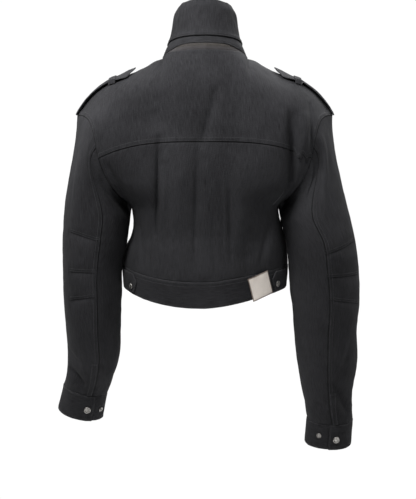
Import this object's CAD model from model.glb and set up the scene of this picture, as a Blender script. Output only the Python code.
"""Charcoal denim jacket with a funnel collar, dressed on its CAD model.

Every cloth piece is a thin wall on a fine grid of the garment's own surface, with its folds, its
seams' ridges and puckers, and a weave that follows the cloth. Metres, +Z up, front towards -Y,
the wearer's left is +X.
"""

import math

import bpy
import numpy as np
from bpy.props import FloatProperty, FloatVectorProperty, PointerProperty
from bpy.types import Operator, Panel, PropertyGroup
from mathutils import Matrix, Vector
from mathutils.bvhtree import BVHTree


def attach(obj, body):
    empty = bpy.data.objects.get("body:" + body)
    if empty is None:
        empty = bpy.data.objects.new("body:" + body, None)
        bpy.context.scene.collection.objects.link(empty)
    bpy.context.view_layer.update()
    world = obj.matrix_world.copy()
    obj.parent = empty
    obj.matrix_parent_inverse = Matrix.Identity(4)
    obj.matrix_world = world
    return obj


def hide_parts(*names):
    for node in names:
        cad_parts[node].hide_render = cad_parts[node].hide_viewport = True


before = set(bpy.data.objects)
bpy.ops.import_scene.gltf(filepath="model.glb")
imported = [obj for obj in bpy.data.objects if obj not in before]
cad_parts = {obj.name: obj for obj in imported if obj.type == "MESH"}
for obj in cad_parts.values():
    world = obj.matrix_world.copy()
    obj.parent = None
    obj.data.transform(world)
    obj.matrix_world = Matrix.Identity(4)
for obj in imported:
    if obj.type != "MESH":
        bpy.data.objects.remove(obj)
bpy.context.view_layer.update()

bl_info = {
    "name": "Denim Jacket",
    "version": (1, 0, 0),
    "blender": (4, 5, 0),
    "location": "View3D > Sidebar > Jacket",
    "description": "Builds a cropped denim jacket's cloth, stitching, snaps and zip on its CAD model",
    "category": "Object",
}

BODY = "jacket"

# Cloth and seams
CLOTH = 0.0013            # one layer of denim
DOUBLE = 0.0024           # a band, cuff or strap: two layers and their turnings
CLEAR = 0.0004            # between a piece and the one that lies on it
ON_CURVE = 0.0010         # the same on a curved band
BAND_PROUD = 0.0010       # a doubled band's face stands this far out of the panel's
COLLAR_PROUD = 0.0016     # the same for the collar's
TAPE_SUNK = 0.0018        # the zip's tape lies this far in
SIDES = {"left": 1, "right": -1}     # which way along X each side is

# Grid counts
NECK_COLUMNS = 34         # from the middle to the neck point
HALF_COLUMNS = 96         # from the middle to the side
YOKE_ROWS = 48
BACK_ARMHOLE_ROWS = 24
FRONT_ARMHOLE_ROWS = 72
SIDE_ROWS = 44
SLEEVE_COLUMNS = YOKE_ROWS + BACK_ARMHOLE_ROWS + FRONT_ARMHOLE_ROWS
SLEEVE_HEAD_ROWS = 48
SLEEVE_ROWS = 118
BACK_SEAM_COLUMN = 42     # the sleeve's back seam, counted from the shoulder tip by the back
FRONT_SEAM_COLUMN = 96
COLLAR_ROWS = 34
BAND_ROWS = 7
COLLAR_STEP = 1.5         # degrees between the collar's columns
SECTION_STEPS = 4001      # for measuring round a section
USUAL_HALF = (0.17, 0.12)            # the half width and depth that the columns are spaced for
EASE = {"yoke": 1.25, "yoke middle": 1.7, "front": 1.2, "front middle": 1.3}    # closer near the top

# Torso
NECK_HALF_WIDTH = 0.0855
NECK_HALF_DEPTH = 0.073
NECK_BACK_Z = 0.0165
NECK_SIDE_Z = 0.0040
NECK_FRONT_Z = -0.022
TORSO_POWER = 2.4         # the torso's level section is a superellipse
ROUND_POWER = 2.2
YOKE_Z = -0.1676          # the yoke seam at the middle of the back
YOKE_TURN = 0.60          # where the yoke seam meets the armhole
YOKE_BOW = 3.2            # the yoke seam is straight in the middle and drops to the armhole
SIDE_SEAM_TOP = -0.297    # the armpit
WAIST_Z = {"back": -0.443, "side": -0.416, "front": -0.410}
HEM_Z = {"back": -0.495, "side": -0.462, "front": -0.458}
RIGHT_RISE = 0.020        # the band rides up between the back and the right side
RING_POWER = 2.0          # how quickly the waist and hem drop from the side to the middle


def table(columns, *rows):
    """A short table with named columns, in order of its first column."""
    values = np.array(sorted(rows), dtype=float)
    return {name: values[:, i] for i, name in enumerate(columns.split())}


def listed(columns, *rows):
    """The same for rows of millimetres, in their own order, as metres."""
    values = np.array(rows, dtype=float) / 1000
    return {name: values[:, i] for i, name in enumerate(columns.split())}


# The torso at each height: the half widths that its section would have if it ran on under the
# sleeves, how far the back and the front stand from the middle plane, and where its sides are.
TORSO = table(
    "z left right back front side_y",
    (0.030, 0.200, 0.200, 0.076, 0.074, 0.000),
    (0.000, 0.222, 0.222, 0.090, 0.082, 0.000),
    (-0.050, 0.256, 0.256, 0.107, 0.102, 0.000),
    (-0.105, 0.282, 0.282, 0.119, 0.118, 0.000),
    (-0.164, 0.272, 0.272, 0.126, 0.131, 0.000),
    (-0.205, 0.250, 0.250, 0.127, 0.137, 0.000),
    (-0.250, 0.213, 0.213, 0.124, 0.138, 0.000),
    (-0.297, 0.150, 0.150, 0.119, 0.135, -0.004),
    (-0.315, 0.1475, 0.151, 0.117, 0.134, -0.012),
    (-0.335, 0.1475, 0.158, 0.115, 0.132, -0.025),
    (-0.357, 0.1530, 0.1655, 0.114, 0.130, -0.037),
    (-0.380, 0.1640, 0.170, 0.117, 0.1305, -0.042),
    (-0.400, 0.1695, 0.171, 0.120, 0.131, -0.044),
    (-0.430, 0.1705, 0.171, 0.122, 0.130, -0.044),
    (-0.460, 0.1680, 0.168, 0.117, 0.125, -0.042),
    (-0.510, 0.1630, 0.163, 0.114, 0.122, -0.040),
)

# The shoulder ridge from the neck point to the tip, and how deep its round is.
RIDGE = table(
    "x z round",
    (0.0855, NECK_SIDE_Z, 0.080),
    (0.100, 0.0000, 0.082),
    (0.120, -0.0125, 0.085),
    (0.140, -0.0225, 0.088),
    (0.170, -0.0335, 0.092),
    (0.200, -0.0460, 0.096),
    (0.2175, -0.0595, 0.100),
    (0.2300, -0.0725, 0.104),
    (0.2420, -0.0865, 0.108),
    (0.2530, -0.1000, 0.112),
    (0.2600, -0.1100, 0.116),
)

# The armhole seam, seen square on, from the shoulder tip (turn 0) to the armpit (turn 1).
ARMHOLE = table(
    "turn back_x back_z front_x front_z",
    (0.00, 0.2600, -0.1100, 0.2600, -0.1100),
    (0.10, 0.2470, -0.1125, 0.2440, -0.1130),
    (0.22, 0.2320, -0.1220, 0.2260, -0.1240),
    (0.40, 0.2190, -0.1560, 0.2080, -0.1600),
    (0.60, 0.2110, -0.1990, 0.1990, -0.2040),
    (0.78, 0.1940, -0.2430, 0.1860, -0.2450),
    (0.90, 0.1740, -0.2720, 0.1700, -0.2730),
    (1.00, 0.1500, -0.2970, 0.1500, -0.2970),
)

# The large folds of the back and front, in millimetres: each is a soft trough between two points
# seen square on. A negative depth is a ridge.
BACK_FOLDS = listed(
    "x0 z0 x1 z1 width depth",
    (-26, -55, -8, -118, 13, 5),
    (-8, -112, 8, -175, 12, 5),
    (112, -112, 94, -145, 22, 4),
    (92, -165, 99, -360, 11, 6),
    (10, -175, 24, -425, 14, 5),
    (-41, -255, -47, -410, 13, 4),
    (-147, -275, -97, -392, 20, 8),
    (188, -215, 136, -305, 14, 6),
    (-176, -118, -163, -330, 13, 13),
    (-203, -112, -196, -185, 15, -8),
    (55, -240, 62, -400, 14, -4),
    (-75, -200, -72, -380, 16, -4),
)
FRONT_FOLDS = listed(
    "x0 z0 x1 z1 width depth",
    (186, -200, 120, -300, 16, 7),
    (-186, -200, -118, -305, 16, 7),
    (85, -215, 100, -380, 16, 5),
    (-90, -225, -98, -385, 16, 5),
    (52, -270, 58, -400, 14, 4),
    (-50, -260, -60, -395, 14, 4),
)

# Each sleeve's rings below the armpit: the centre (x is outward), the half width and depth, the
# ring's tilt outward, the forearm's lean to the front and the cloth's twist, in degrees.
SLEEVES = {
    "left": table(
        "z x y half_width half_depth tilt lean twist",
        (-0.330, 0.2220, 0.004, 0.0680, 0.0720, 0, 0, 0),
        (-0.365, 0.2258, 0.004, 0.0660, 0.0710, 0, 0, 0),
        (-0.395, 0.2292, 0.003, 0.0622, 0.0705, 0, 2, 0),
        (-0.420, 0.2312, 0.002, 0.0600, 0.0700, 0, 3, 0),
        (-0.450, 0.2320, -0.001, 0.0590, 0.0692, 0, 4, 0),
        (-0.488, 0.2318, -0.006, 0.0590, 0.0680, 0, 6, 0),
        (-0.550, 0.2315, -0.018, 0.0565, 0.0630, 2, 9, 0),
        (-0.599, 0.2320, -0.030, 0.0540, 0.0580, 4, 11, 2),
        (-0.630, 0.2370, -0.037, 0.0505, 0.0540, 8, 12, 4),
        (-0.655, 0.2435, -0.043, 0.0475, 0.0470, 11, 13, 6),
        (-0.678, 0.2515, -0.048, 0.0460, 0.0400, 12, 13, 8),
    ),
    "right": table(
        "z x y half_width half_depth tilt lean twist",
        (-0.330, 0.2275, 0.006, 0.0715, 0.0740, 0, 0, -8),
        (-0.365, 0.2368, 0.006, 0.0700, 0.0760, 0, 0, -14),
        (-0.420, 0.2430, 0.003, 0.0715, 0.0750, 0, 3, -16),
        (-0.488, 0.2478, -0.004, 0.0700, 0.0720, 0, 6, -17),
        (-0.550, 0.2490, -0.015, 0.0650, 0.0660, 0, 9, -15),
        (-0.610, 0.2535, -0.028, 0.0630, 0.0610, 0, 12, -12),
        (-0.660, 0.2560, -0.040, 0.0568, 0.0540, -1, 13, -12),
        (-0.705, 0.2585, -0.050, 0.0503, 0.0460, -2, 14, -14),
        (-0.742, 0.2630, -0.058, 0.0475, 0.0400, -2, 14, -17),
    ),
}
SLEEVE_LEAVES = {"left": 0.05, "right": -0.04}    # how far outward the cloth leaves the shoulder
ARMPIT_LEAVES = 0.30
ARMHOLE_STEP = 0.012      # how far in the torso's own direction is read
SLEEVE_SPREAD = 1.2       # how far it goes on in the torso's own direction, front and back
SLEEVE_GIRTH = 0.062      # radius that turns a sleeve's angle into a distance for its folds

# The large folds of each sleeve, in millimetres: x is the angle times the girth, measured from
# outward by the back; the elbow darts pinch the back of the arm.
SLEEVE_FOLDS = {
    "left": listed(
        "x0 z0 x1 z1 width depth",
        (28, -630, 85, -655, 13, 8),
        (50, -345, 103, -362, 12, 3),
        (50, -424, 103, -424, 12, 3),
        (50, -480, 100, -472, 12, 3),
        (300, -440, 345, -420, 14, 6),
        (290, -400, 330, -380, 14, 5),
        (130, -540, 150, -620, 13, 4),
        (196, -395, 200, -460, 20, 1.5),
    ),
    "right": listed(
        "x0 z0 x1 z1 width depth",
        (35, -365, 85, -385, 12, 3),
        (30, -432, 85, -432, 12, 3),
        (35, -490, 85, -478, 12, 3),
        (100, -640, 60, -715, 13, 5),
        (295, -450, 345, -425, 14, 6),
        (290, -405, 330, -385, 14, 5),
        (10, -640, 30, -700, 13, 4),
        (206, -395, 210, -460, 20, 1.5),
    ),
}

# The funnel collar from its seam (height 0) to its top edge (height 1)
COLLAR = table(
    "height half_width half_depth y back_z side_z front_z",
    (0.00, NECK_HALF_WIDTH, NECK_HALF_DEPTH, 0.000, NECK_BACK_Z, NECK_SIDE_Z, NECK_FRONT_Z),
    (0.13, 0.0810, 0.0700, 0.000, 0.0315, 0.0175, -0.0080),
    (0.26, 0.0745, 0.0665, -0.001, 0.0450, 0.0300, 0.0060),
    (0.42, 0.0685, 0.0635, -0.003, 0.0625, 0.0475, 0.0260),
    (0.62, 0.0648, 0.0615, -0.006, 0.0855, 0.0700, 0.0520),
    (0.82, 0.0615, 0.0600, -0.009, 0.1055, 0.0920, 0.0780),
    (1.00, 0.0540, 0.0560, -0.012, 0.1205, 0.1050, 0.0900),
)
ZIP_REACH = 135           # degrees that the collar's zip runs to each side of the back
COLLAR_SEAM = 60          # the collar's upright seams
BAND_FOOT = 0.13          # the collar's heights: above the zip,
BAND_TOP = 0.26           # and the top of the narrow band above the zip
BAND_HANGS = 0.7          # how much lower the band hangs over the zip at the sides, as a share,
HANGS_FROM = (22, 48)     # where that starts and over how many degrees,
HANGS_TO = (95, 20)       # and where it ends
ZIP_END = 4               # degrees over which the band steps down past the zip

TOOTH = {"Tooth Width": 0.0009, "Tooth Reach": 0.0052, "Tooth Height": 0.0009}
CHAIN_FREE = (2, 13)      # degrees of the tape that the chain leaves free, at its right and left ends
CHAIN_HEIGHT = (0.72, 0.22)          # its height on the tape, as a share, and how far it drops
CHAIN_DROPS = (70, 40)    # from where, in degrees from the back, and over how much

# Cuffs: where the upper end stops, how far the other end goes on below it, and where the snaps are
CUFF_HEIGHT = 0.056
CUFF_LAP = 48             # degrees
CUFF_FLARE = 0.0015
CUFF_GOES_IN = (300, 60)  # where the lower end moves in under the upper one, and over how much
CUFF_GRID = (19, 170)     # rows and columns
CUFF_EDGE = {"left": 124, "right": 94}
CUFF_SNAP = {"left": (106, 0.55), "right": (76, 0.58)}
CUFF_STUD = {"left": (152, 0.58), "right": (120, 0.48)}
SLEEVE_PLACKET = {"width": 0.012, "length": 0.072, "gap": 0.0015, "beside": 2}

# Epaulettes: strips over the shoulder ridge, sewn in at the armhole. Along them go how far their
# middle line stands over the ridge, their slope down to the back, their crown and their shift back.
EPAULETTE_HALF_WIDTH = 0.0225
EPAULETTE_POINT = 0.017
EPAULETTE = table(
    "x lift tilt crown shift",
    (0.1390, 0.0066, 0.32, 3.0, 0.0160),
    (0.1500, 0.0038, 0.32, 3.0, 0.0170),
    (0.1580, 0.0020, 0.33, 3.0, 0.0170),
    (0.1770, 0.0016, 0.22, 3.0, 0.0150),
    (0.1880, 0.0028, 0.16, 4.0, 0.0120),
    (0.2050, 0.0036, 0.10, 6.0, 0.0060),
    (0.2200, 0.0050, 0.04, 7.0, 0.0020),
    (0.2350, 0.0068, 0.02, 8.0, 0.0010),
    (0.2500, 0.0062, 0.00, 8.0, 0.0000),
    (0.2600, 0.0030, 0.00, 8.0, 0.0000),
)
EPAULETTE_LOOP_X = 0.188
EPAULETTE_LOOP_WIDTH = 0.014
EPAULETTE_LOOP_FOOT = 0.0022     # the loop's ends stand this far over the shoulder
EPAULETTE_LOOP_REACH = 1.13      # the loop's half length over the strap's half width
EPAULETTE_LOOP_DROP = (1.04, 0.09)   # where it leaves the strap for the shoulder, and over how much

# Waist tabs, their buttons and the sewn patch
TAB_START = {"left": 74, "right": 74}       # degrees round the waist from the back
TAB_END = {"left": 49, "right": 47.5}
TAB_TOP, TAB_FOOT = 0.08, 0.90              # shares of the waistband's height
TAB_POINT = 7                               # degrees that the tab's point runs on
TAB_TIP = (0.4, 0.6)                        # the point's height on the band, and how far it spreads
PATCH_CENTRE = (-0.1090, -0.4520)
PATCH_SIZE = (0.0520, 0.0480)
PATCH_TURN = math.radians(17.7)
PATCH_ASIDE = 0.80        # the band runs off to the side there: a width as seen square on

# The closed front
PLACKET_HALF_WIDTH = 0.022
PLACKET_COLLAR_END = 0.16     # its part on the collar ends at this height of the collar,
PLACKET_NECK_DROP = 0.008     # and its part on the front starts this far below the neck seam
PLACKET_HEM_GAP = 0.0015
PLACKET_ROWS = (36, 138)      # on the collar and on the front
PLACKET_OVER_BAND = (-0.404, 0.008)  # where it rises over the waistband, and over how much
SNAP_RADIUS = 0.0072
SNAP_HEIGHT = 0.0026
STUD_RADIUS = 0.0052
BUTTON_RADIUS = 0.0062
FRONT_SNAPS = {"01": 0.088, "02": 0.036, "03": -0.075, "04": -0.160, "05": -0.245, "06": -0.330,
               "07": -0.438}
BUTTON_DOWN = 0.44        # the waist buttons' height on the band, as a share
BUTTON_OUT = 1.02         # a button's and a snap's places are taken a little outside their pieces,
SNAP_OUT = 0.004          # so that the nearest point is on the outer face
COLLAR_GIRTH = 0.065      # radius that turns the collar's angle into a distance
PATCH_THICKNESS = 0.0011

# The stage
CAMERA, CAMERA_AIM = (-0.006, 2.6, -0.25), (-0.006, 0.0, -0.384)
LENS = 91.5
LAMPS_AIM = (0.0, 0.0, -0.35)
FLOOR_CORNERS = 96

# Sharper creases than the solids hold, on the same lines, in millimetres: the width on the side of
# +X and on the other side, and the depth. A negative depth is a ridge.
BACK_CREASES = listed(
    "x0 z0 x1 z1 plus minus depth",
    (-22.5, -62, -8, -122, 4, 7, 2.4),
    (-8.5, -116, 6, -168, 4, 7, 2.6),
    (90.5, -160, 96, -352, 3.2, 7, 7),
    (79, -190, 83, -330, 6, 6, -2.2),
    (15, -180, 21, -420, 4, 6, 3.4),
    (-37, -230, -43, -400, 4, 7, -2.2),
    (-48, -250, -52, -405, 5, 5, 3.4),
    (198, -205, 146, -292, 4, 7, 6.6),
    (183, -215, 138, -283, 6, 7, -2.8),
    (-166, -108, -169, -240, 4.2, 9, 9.5),
    (-169, -225, -156, -345, 5, 8, 6),
    (-208, -90, -210, -200, 4, 6, 7.5),
    (89, -214, 70, -209, 3, 4, 1.6),
    (-95, -275, -128, -350, 6, 12, 3.4),
    (-136, -300, -108, -410, 5, 9, 5.2),
    (131, -300, 124, -412, 5, 9, 5.6),
    (56, -330, 60, -440, 6, 6, 1.6),
    (-15, -300, -19, -440, 5, 6, 1.4),
    (112, -345, 106, -430, 5, 6, 3),
    (-80, -360, -84, -440, 5, 7, 1.8),
)
FRONT_CREASES = listed(
    "x0 z0 x1 z1 plus minus depth",
    (180, -210, 125, -298, 5, 8, 3.6),
    (-178, -205, -124, -302, 8, 5, 3.8),
    (84, -220, 96, -385, 5, 9, 3),
    (-89, -240, -96, -380, 9, 5, 2.8),
    (156, -130, 118, -190, 6, 9, 2.6),
    (-150, -120, -108, -200, 9, 6, 2.4),
    (46, -60, 70, -150, 6, 8, 2.2),
    (-42, -55, -64, -130, 8, 6, 2),
    (52, -290, 56, -400, 5, 7, 2.2),
    (-48, -280, -57, -402, 7, 5, 2.4),
    (129, -320, 118, -400, 5, 8, 2.6),
    (-126, -330, -115, -402, 8, 5, 2.4),
)
SLEEVE_CREASES = {
    "left": listed(
        "x0 z0 x1 z1 plus minus depth",
        (32, -633, 83, -654, 4, 5, 5),
        (50, -347, 104, -363, 3, 3.5, 1.8),
        (50, -424, 104, -424, 3, 3.5, 1.8),
        (50, -480, 102, -472, 3, 3.5, 1.8),
        (20, -585, 70, -612, 6, 9, 3),
        (50, -655, 92, -668, 5, 5, 2.4),
        (120, -600, 160, -650, 5, 7, 3),
        (215, -620, 170, -655, 5, 7, 2.8),
        (300, -440, 345, -420, 5, 8, 3.4),
        (290, -400, 330, -380, 5, 8, 3),
        (290, -610, 340, -640, 5, 8, 3),
        (70, -520, 95, -575, 6, 9, 2),
        (255, -500, 300, -470, 6, 9, 2.4),
        (235, -352, 290, -345, 5, 8, 2.6),
        (190, -360, 196, -480, 20, 20, -3),
    ),
    "right": listed(
        "x0 z0 x1 z1 plus minus depth",
        (42, -366, 110, -388, 3, 3.5, 1.8),
        (40, -432, 110, -432, 3, 3.5, 1.8),
        (42, -490, 110, -476, 3, 3.5, 1.8),
        (100, -645, 62, -712, 5, 7, 3.4),
        (295, -450, 345, -425, 5, 8, 3.4),
        (290, -405, 330, -385, 5, 8, 3),
        (12, -645, 30, -698, 5, 7, 2.8),
        (130, -690, 165, -715, 5, 6, 2.8),
        (250, -680, 200, -715, 5, 7, 2.8),
        (300, -655, 345, -690, 5, 8, 3),
        (60, -560, 85, -625, 6, 9, 2.2),
        (260, -520, 305, -490, 6, 9, 2.4),
        (235, -352, 290, -345, 5, 8, 2.6),
        (198, -350, 206, -485, 20, 20, -3),
    ),
}
COLLAR_CREASES = listed(
    "x0 z0 x1 z1 plus minus depth",
    (18, 106, 14, 94, 4, 4, 1.2),
    (10, 92, 4, 80, 4, 4, 1),
    (75, 70, 64, 100, 6, 6, 1.2),
    (-82, 66, -70, 98, 6, 6, 1.2),
    (150, 40, 130, 78, 7, 7, 1.6),
    (-160, 44, -138, 80, 7, 7, 1.6),
)
# The zigzag sewn on the back beside the right armhole, as lines of (x, z) corners
BACK_MOTIF = (
    ((-0.1800, -0.1850), (-0.1885, -0.2065), (-0.1950, -0.1890), (-0.2010, -0.2090),
     (-0.2080, -0.1880)),
    ((-0.1885, -0.1840), (-0.1835, -0.1930), (-0.1885, -0.2020), (-0.1935, -0.1930),
     (-0.1885, -0.1840)),
)
MOTIF_STITCH = 0.0024     # its row of stitches runs this far above the line
SEAM_DIPS = ((0.1840, 0.0080, 0.0120), (0.2000, 0.0060, 0.0060))   # in the right half's yoke seam

# Rows of stitches: how far each runs from the edge that it follows
ROWS = {
    "lap": (0.0022, 0.0082), "yoke": (0.0022, 0.0085), "neck": (0.0028,), "waist": (0.0024, 0.0088),
    "hem": (0.0028,), "single": (0.0022,), "collar top": (0.0030,), "collar foot": (0.0022, 0.0066),
    "collar seam": (0.0022, 0.0068), "band foot": (0.0020,), "band top": (0.0016,),
    "cuff top": (0.0024,), "wide": (0.0030,), "loop": (0.0020,), "tab": (0.0026,),
    "front": (0.0030, 0.0095), "patch": (0.0016,),
}
# The elbow darts: their rows in SLEEVE_CREASES, counted from 0, how far they run on, and how far
# above each line its dark edge and its rows of stitches are
DARTS = {"left": (1, 2, 3), "right": (0, 1, 2)}
DART_OVER = 0.004
DART_EDGE = 0.0
DART_ROWS = (0.0024, 0.0066)

# Fine relief
SEAM_ALLOWANCE = 0.0085   # how wide the turned-in cloth shows beside a lapped seam
PUCKER_SIZE = 0.0100
HAND_SIZE = 0.0340        # the cloth's own soft unevenness
SEWN_IN = 0.00035         # how far a row of stitches draws the cloth in
FOLD_ROW = 0.0026         # and how far from a folded edge that is


# ---- the garment's surfaces

def read(rows, name, at):
    """A table's column as a smooth curve through its rows."""
    x, y = next(iter(rows.values())), rows[name]
    slope = np.gradient(y, x)
    at = np.clip(np.asarray(at, dtype=float), x[0], x[-1])
    i = np.clip(np.searchsorted(x, at, side="right") - 1, 0, len(x) - 2)
    step = x[i + 1] - x[i]
    t = (at - x[i]) / step
    start = (1 + 2 * t) * (1 - t) ** 2 * y[i] + t * (1 - t) ** 2 * step * slope[i]
    end = t * t * (3 - 2 * t) * y[i + 1] - t * t * (1 - t) * step * slope[i + 1]
    return start + end


def fold_lines(folds, across, down):
    """Each fold of a table: its row, the place along it from 0 to 1, its run and its start."""
    for i in range(len(folds["depth"])):
        x0, z0, x1, z1 = (folds[name][i] for name in ("x0", "z0", "x1", "z1"))
        run = np.array((x1 - x0, z1 - z0))
        t = ((across - x0) * run[0] + (down - z0) * run[1]) / (run @ run)
        yield i, t, run, (x0, z0)


def troughs(folds, across, down):
    """The depth of a table of folds at each point: soft troughs that fade at both ends."""
    total = np.zeros(np.broadcast(across, down).shape)
    for i, t, run, (x0, z0) in fold_lines(folds, across, down):
        inside = np.clip(t, 0, 1)
        away = np.hypot(across - x0 - inside * run[0], down - z0 - inside * run[1])
        fade = np.sin(np.pi * np.clip(0.08 + 0.84 * t, 0, 1)) ** 0.7
        total += folds["depth"][i] * fade * np.exp(-(away / folds["width"][i]) ** 2)
    return total


def creases(folds, across, down):
    """Like troughs, for a table of creases with a width to each side."""
    total = np.zeros(np.broadcast(across, down).shape)
    for i, t, run, (x0, z0) in fold_lines(folds, across, down):
        length = np.hypot(*run)
        aside = ((down - z0) * run[0] - (across - x0) * run[1]) / length
        beyond = np.maximum(np.abs(t - 0.5) - 0.5, 0) * length
        width = np.where(aside > 0, folds["plus"][i], folds["minus"][i])
        fade = np.sin(np.pi * np.clip(0.06 + 0.88 * t, 0, 1)) ** 0.7
        total += folds["depth"][i] * fade * np.exp(-(aside ** 2 + beyond ** 2) / width ** 2)
    return total


def round_height(turn, back, side, front):
    """A height that runs round the neck by its back, side and front; turn is 1 at the back."""
    return side + turn * (back - front) / 2 + turn ** 2 * ((back + front) / 2 - side)


def top_height(x, face):
    """The height of the neck's edge, or of the shoulder ridge beyond it; face is +1 at the back."""
    x = np.abs(x)
    round_neck = np.sqrt(np.clip(1 - (x / NECK_HALF_WIDTH) ** 2, 0, 1))
    neck = round_height(face * round_neck, NECK_BACK_Z, NECK_SIDE_Z, NECK_FRONT_Z)
    return np.where(x < NECK_HALF_WIDTH, neck, read(RIDGE, "z", x))


def torso_points(x, z, face):
    """Points of the torso's surface over (x, z), at the back (face +1) or front (face -1)."""
    side = np.abs(x)
    half = np.where(x > 0, read(TORSO, "left", z), read(TORSO, "right", z))
    middle = read(TORSO, "side_y", z)
    full = read(TORSO, "back" if face > 0 else "front", z) - face * middle
    section = np.clip(1 - (side / half) ** TORSO_POWER, 0, 1)
    neck = NECK_HALF_DEPTH * np.sqrt(np.clip(1 - (side / NECK_HALF_WIDTH) ** 2, 0, 1))
    below = np.clip((top_height(x, face) - z) / read(RIDGE, "round", side), 0, 1)
    crown = np.sqrt(np.clip(1 - (1 - below) ** 2, 0, 1))
    out = neck + (full * section ** (1 / ROUND_POWER) - neck) * crown
    folds = (troughs(BACK_FOLDS, x, z) + creases(BACK_CREASES, x, z) if face > 0
             else troughs(FRONT_FOLDS, x, z) + creases(FRONT_CREASES, x, z))
    out = out - folds * np.clip(3 * section, 0, 1) * np.clip(2 * crown, 0, 1)
    return np.stack((x, middle + face * out, z), axis=-1)


def ring_height(heights, angle):
    """The waist seam's or the hem's height at an angle from the back, in degrees."""
    turn, hand = np.cos(np.radians(angle)), np.sin(np.radians(angle))
    middle = np.where(turn > 0, heights["back"], heights["front"])
    rise = RIGHT_RISE * np.clip(-hand, 0, 1) * np.clip(turn, 0, 1) ** 2
    return heights["side"] + (middle - heights["side"]) * np.abs(turn) ** RING_POWER + rise


def waist_points(angle, share):
    """Points of the waistband's surface: share 0 is its seam and 1 is the hem."""
    angle, share = np.broadcast_arrays(angle, share)
    z = (1 - share) * ring_height(WAIST_Z, angle) + share * ring_height(HEM_Z, angle)
    sine = np.sin(np.radians(angle))
    half = np.where(sine > 0, read(TORSO, "left", z), read(TORSO, "right", z))
    x = np.sign(sine) * half * np.abs(sine) ** (2 / TORSO_POWER)
    back, front = torso_points(x, z, 1), torso_points(x, z, -1)
    return np.where((np.cos(np.radians(angle)) > 0)[..., None], back, front)


def collar_points(angle, height):
    """Points of the collar's surface; angle is from the back, in degrees, to the left side."""
    angle, height = np.broadcast_arrays(np.radians(angle), height)
    rows = (read(COLLAR, name, height) for name in ("back_z", "side_z", "front_z"))
    z = round_height(np.cos(angle), *rows)
    dent = creases(COLLAR_CREASES, angle * COLLAR_GIRTH, z)
    x = (read(COLLAR, "half_width", height) - dent) * np.sin(angle)
    y = read(COLLAR, "y", height) + (read(COLLAR, "half_depth", height) - dent) * np.cos(angle)
    return np.stack((x, y, z), axis=-1)


def sleeve_frame(side, z):
    """A sleeve ring's centre, its outward and backward directions and the arm's direction."""
    rows = SLEEVES[side]
    hand = SIDES[side]
    tilt, lean = np.radians(read(rows, "tilt", z)), np.radians(read(rows, "lean", z))
    nought = np.zeros_like(tilt)
    centre = np.stack((hand * read(rows, "x", z), read(rows, "y", z), z + nought), axis=-1)
    outward = np.stack((hand * np.cos(tilt), nought, np.sin(tilt)), axis=-1)
    backward = np.stack((nought, np.cos(lean), -np.sin(lean)), axis=-1)
    down = np.stack((hand * np.sin(tilt), -np.sin(lean), -np.cos(tilt) * np.cos(lean)), axis=-1)
    return centre, outward, backward, down


def sleeve_points(side, angle, z):
    """Points of a sleeve below the armpit; angle is from outward by the back, in degrees."""
    angle, z = np.broadcast_arrays(np.asarray(angle, float), np.asarray(z, float))
    centre, outward, backward, _ = sleeve_frame(side, z)
    rows = SLEEVES[side]
    turn = np.radians(angle + read(rows, "twist", z))
    along = np.radians(angle % 360) * SLEEVE_GIRTH
    dent = troughs(SLEEVE_FOLDS[side], along, z) + creases(SLEEVE_CREASES[side], along, z)
    wide = (read(rows, "half_width", z) - dent) * np.cos(turn)
    deep = (read(rows, "half_depth", z) - dent) * np.sin(turn)
    return centre + wide[..., None] * outward + deep[..., None] * backward


def cuff_points(side, angle, share, inward=0.0):
    """Points of a cuff: share 0 is its seam with the sleeve and 1 its open edge."""
    angle, share, inward = np.broadcast_arrays(np.asarray(angle, float), share, inward)
    z = np.full(angle.shape, SLEEVES[side]["z"][0])
    centre, outward, backward, down = sleeve_frame(side, z)
    rows = SLEEVES[side]
    turn = np.radians(angle)
    grow = CUFF_FLARE * share - inward
    wide = (read(rows, "half_width", z) + grow) * np.cos(turn)
    deep = (read(rows, "half_depth", z) + grow) * np.sin(turn)
    along = CUFF_HEIGHT * share
    return (centre + wide[..., None] * outward + deep[..., None] * backward
            + along[..., None] * down)


# ---- where each piece's grid runs

def unit(vectors):
    """Vectors scaled to length 1."""
    return vectors / np.maximum(np.linalg.norm(vectors, axis=-1, keepdims=True), 1e-12)


def blend(t):
    """A smooth step from 0 to 1."""
    t = np.clip(t, 0, 1)
    return t * t * (3 - 2 * t)


def filled(top, bottom, left, right):
    """A grid between four edges; top and bottom hold the columns, the others the rows."""
    u = np.linspace(0, 1, len(left))[:, None]
    s = section_shares()
    shares = (1 - u) * top[:, 0] / top[-1, 0] + u * bottom[:, 0] / bottom[-1, 0]
    corners = ((1 - u) * ((1 - s) * top[0, 1] + s * top[-1, 1])
               + u * ((1 - s) * bottom[0, 1] + s * bottom[-1, 1]))
    height = ((1 - u) * top[:, 1] + u * bottom[:, 1]
              + (1 - s) * left[:, 1:] + s * right[:, 1:] - corners)
    return np.stack((shares * right[:, :1], height), axis=-1)


def pairs(x, z):
    """Two lists of numbers, side by side."""
    x, z = np.broadcast_arrays(x, z)
    return np.stack((x, z), axis=-1).astype(float)


def section_shares():
    """Where the columns stand across a half, as shares of its width, evenly spaced on the cloth."""
    turn = np.linspace(0, np.pi / 2, SECTION_STEPS)
    across = np.sin(turn) ** (2 / TORSO_POWER)
    deep = np.cos(turn) ** (2 / ROUND_POWER)
    steps = np.hypot(np.diff(across) * USUAL_HALF[0], np.diff(deep) * USUAL_HALF[1])
    arc = np.concatenate(((0.0,), np.cumsum(steps)))
    return np.interp(np.linspace(0, arc[-1], HALF_COLUMNS + 1), arc, across)


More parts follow.
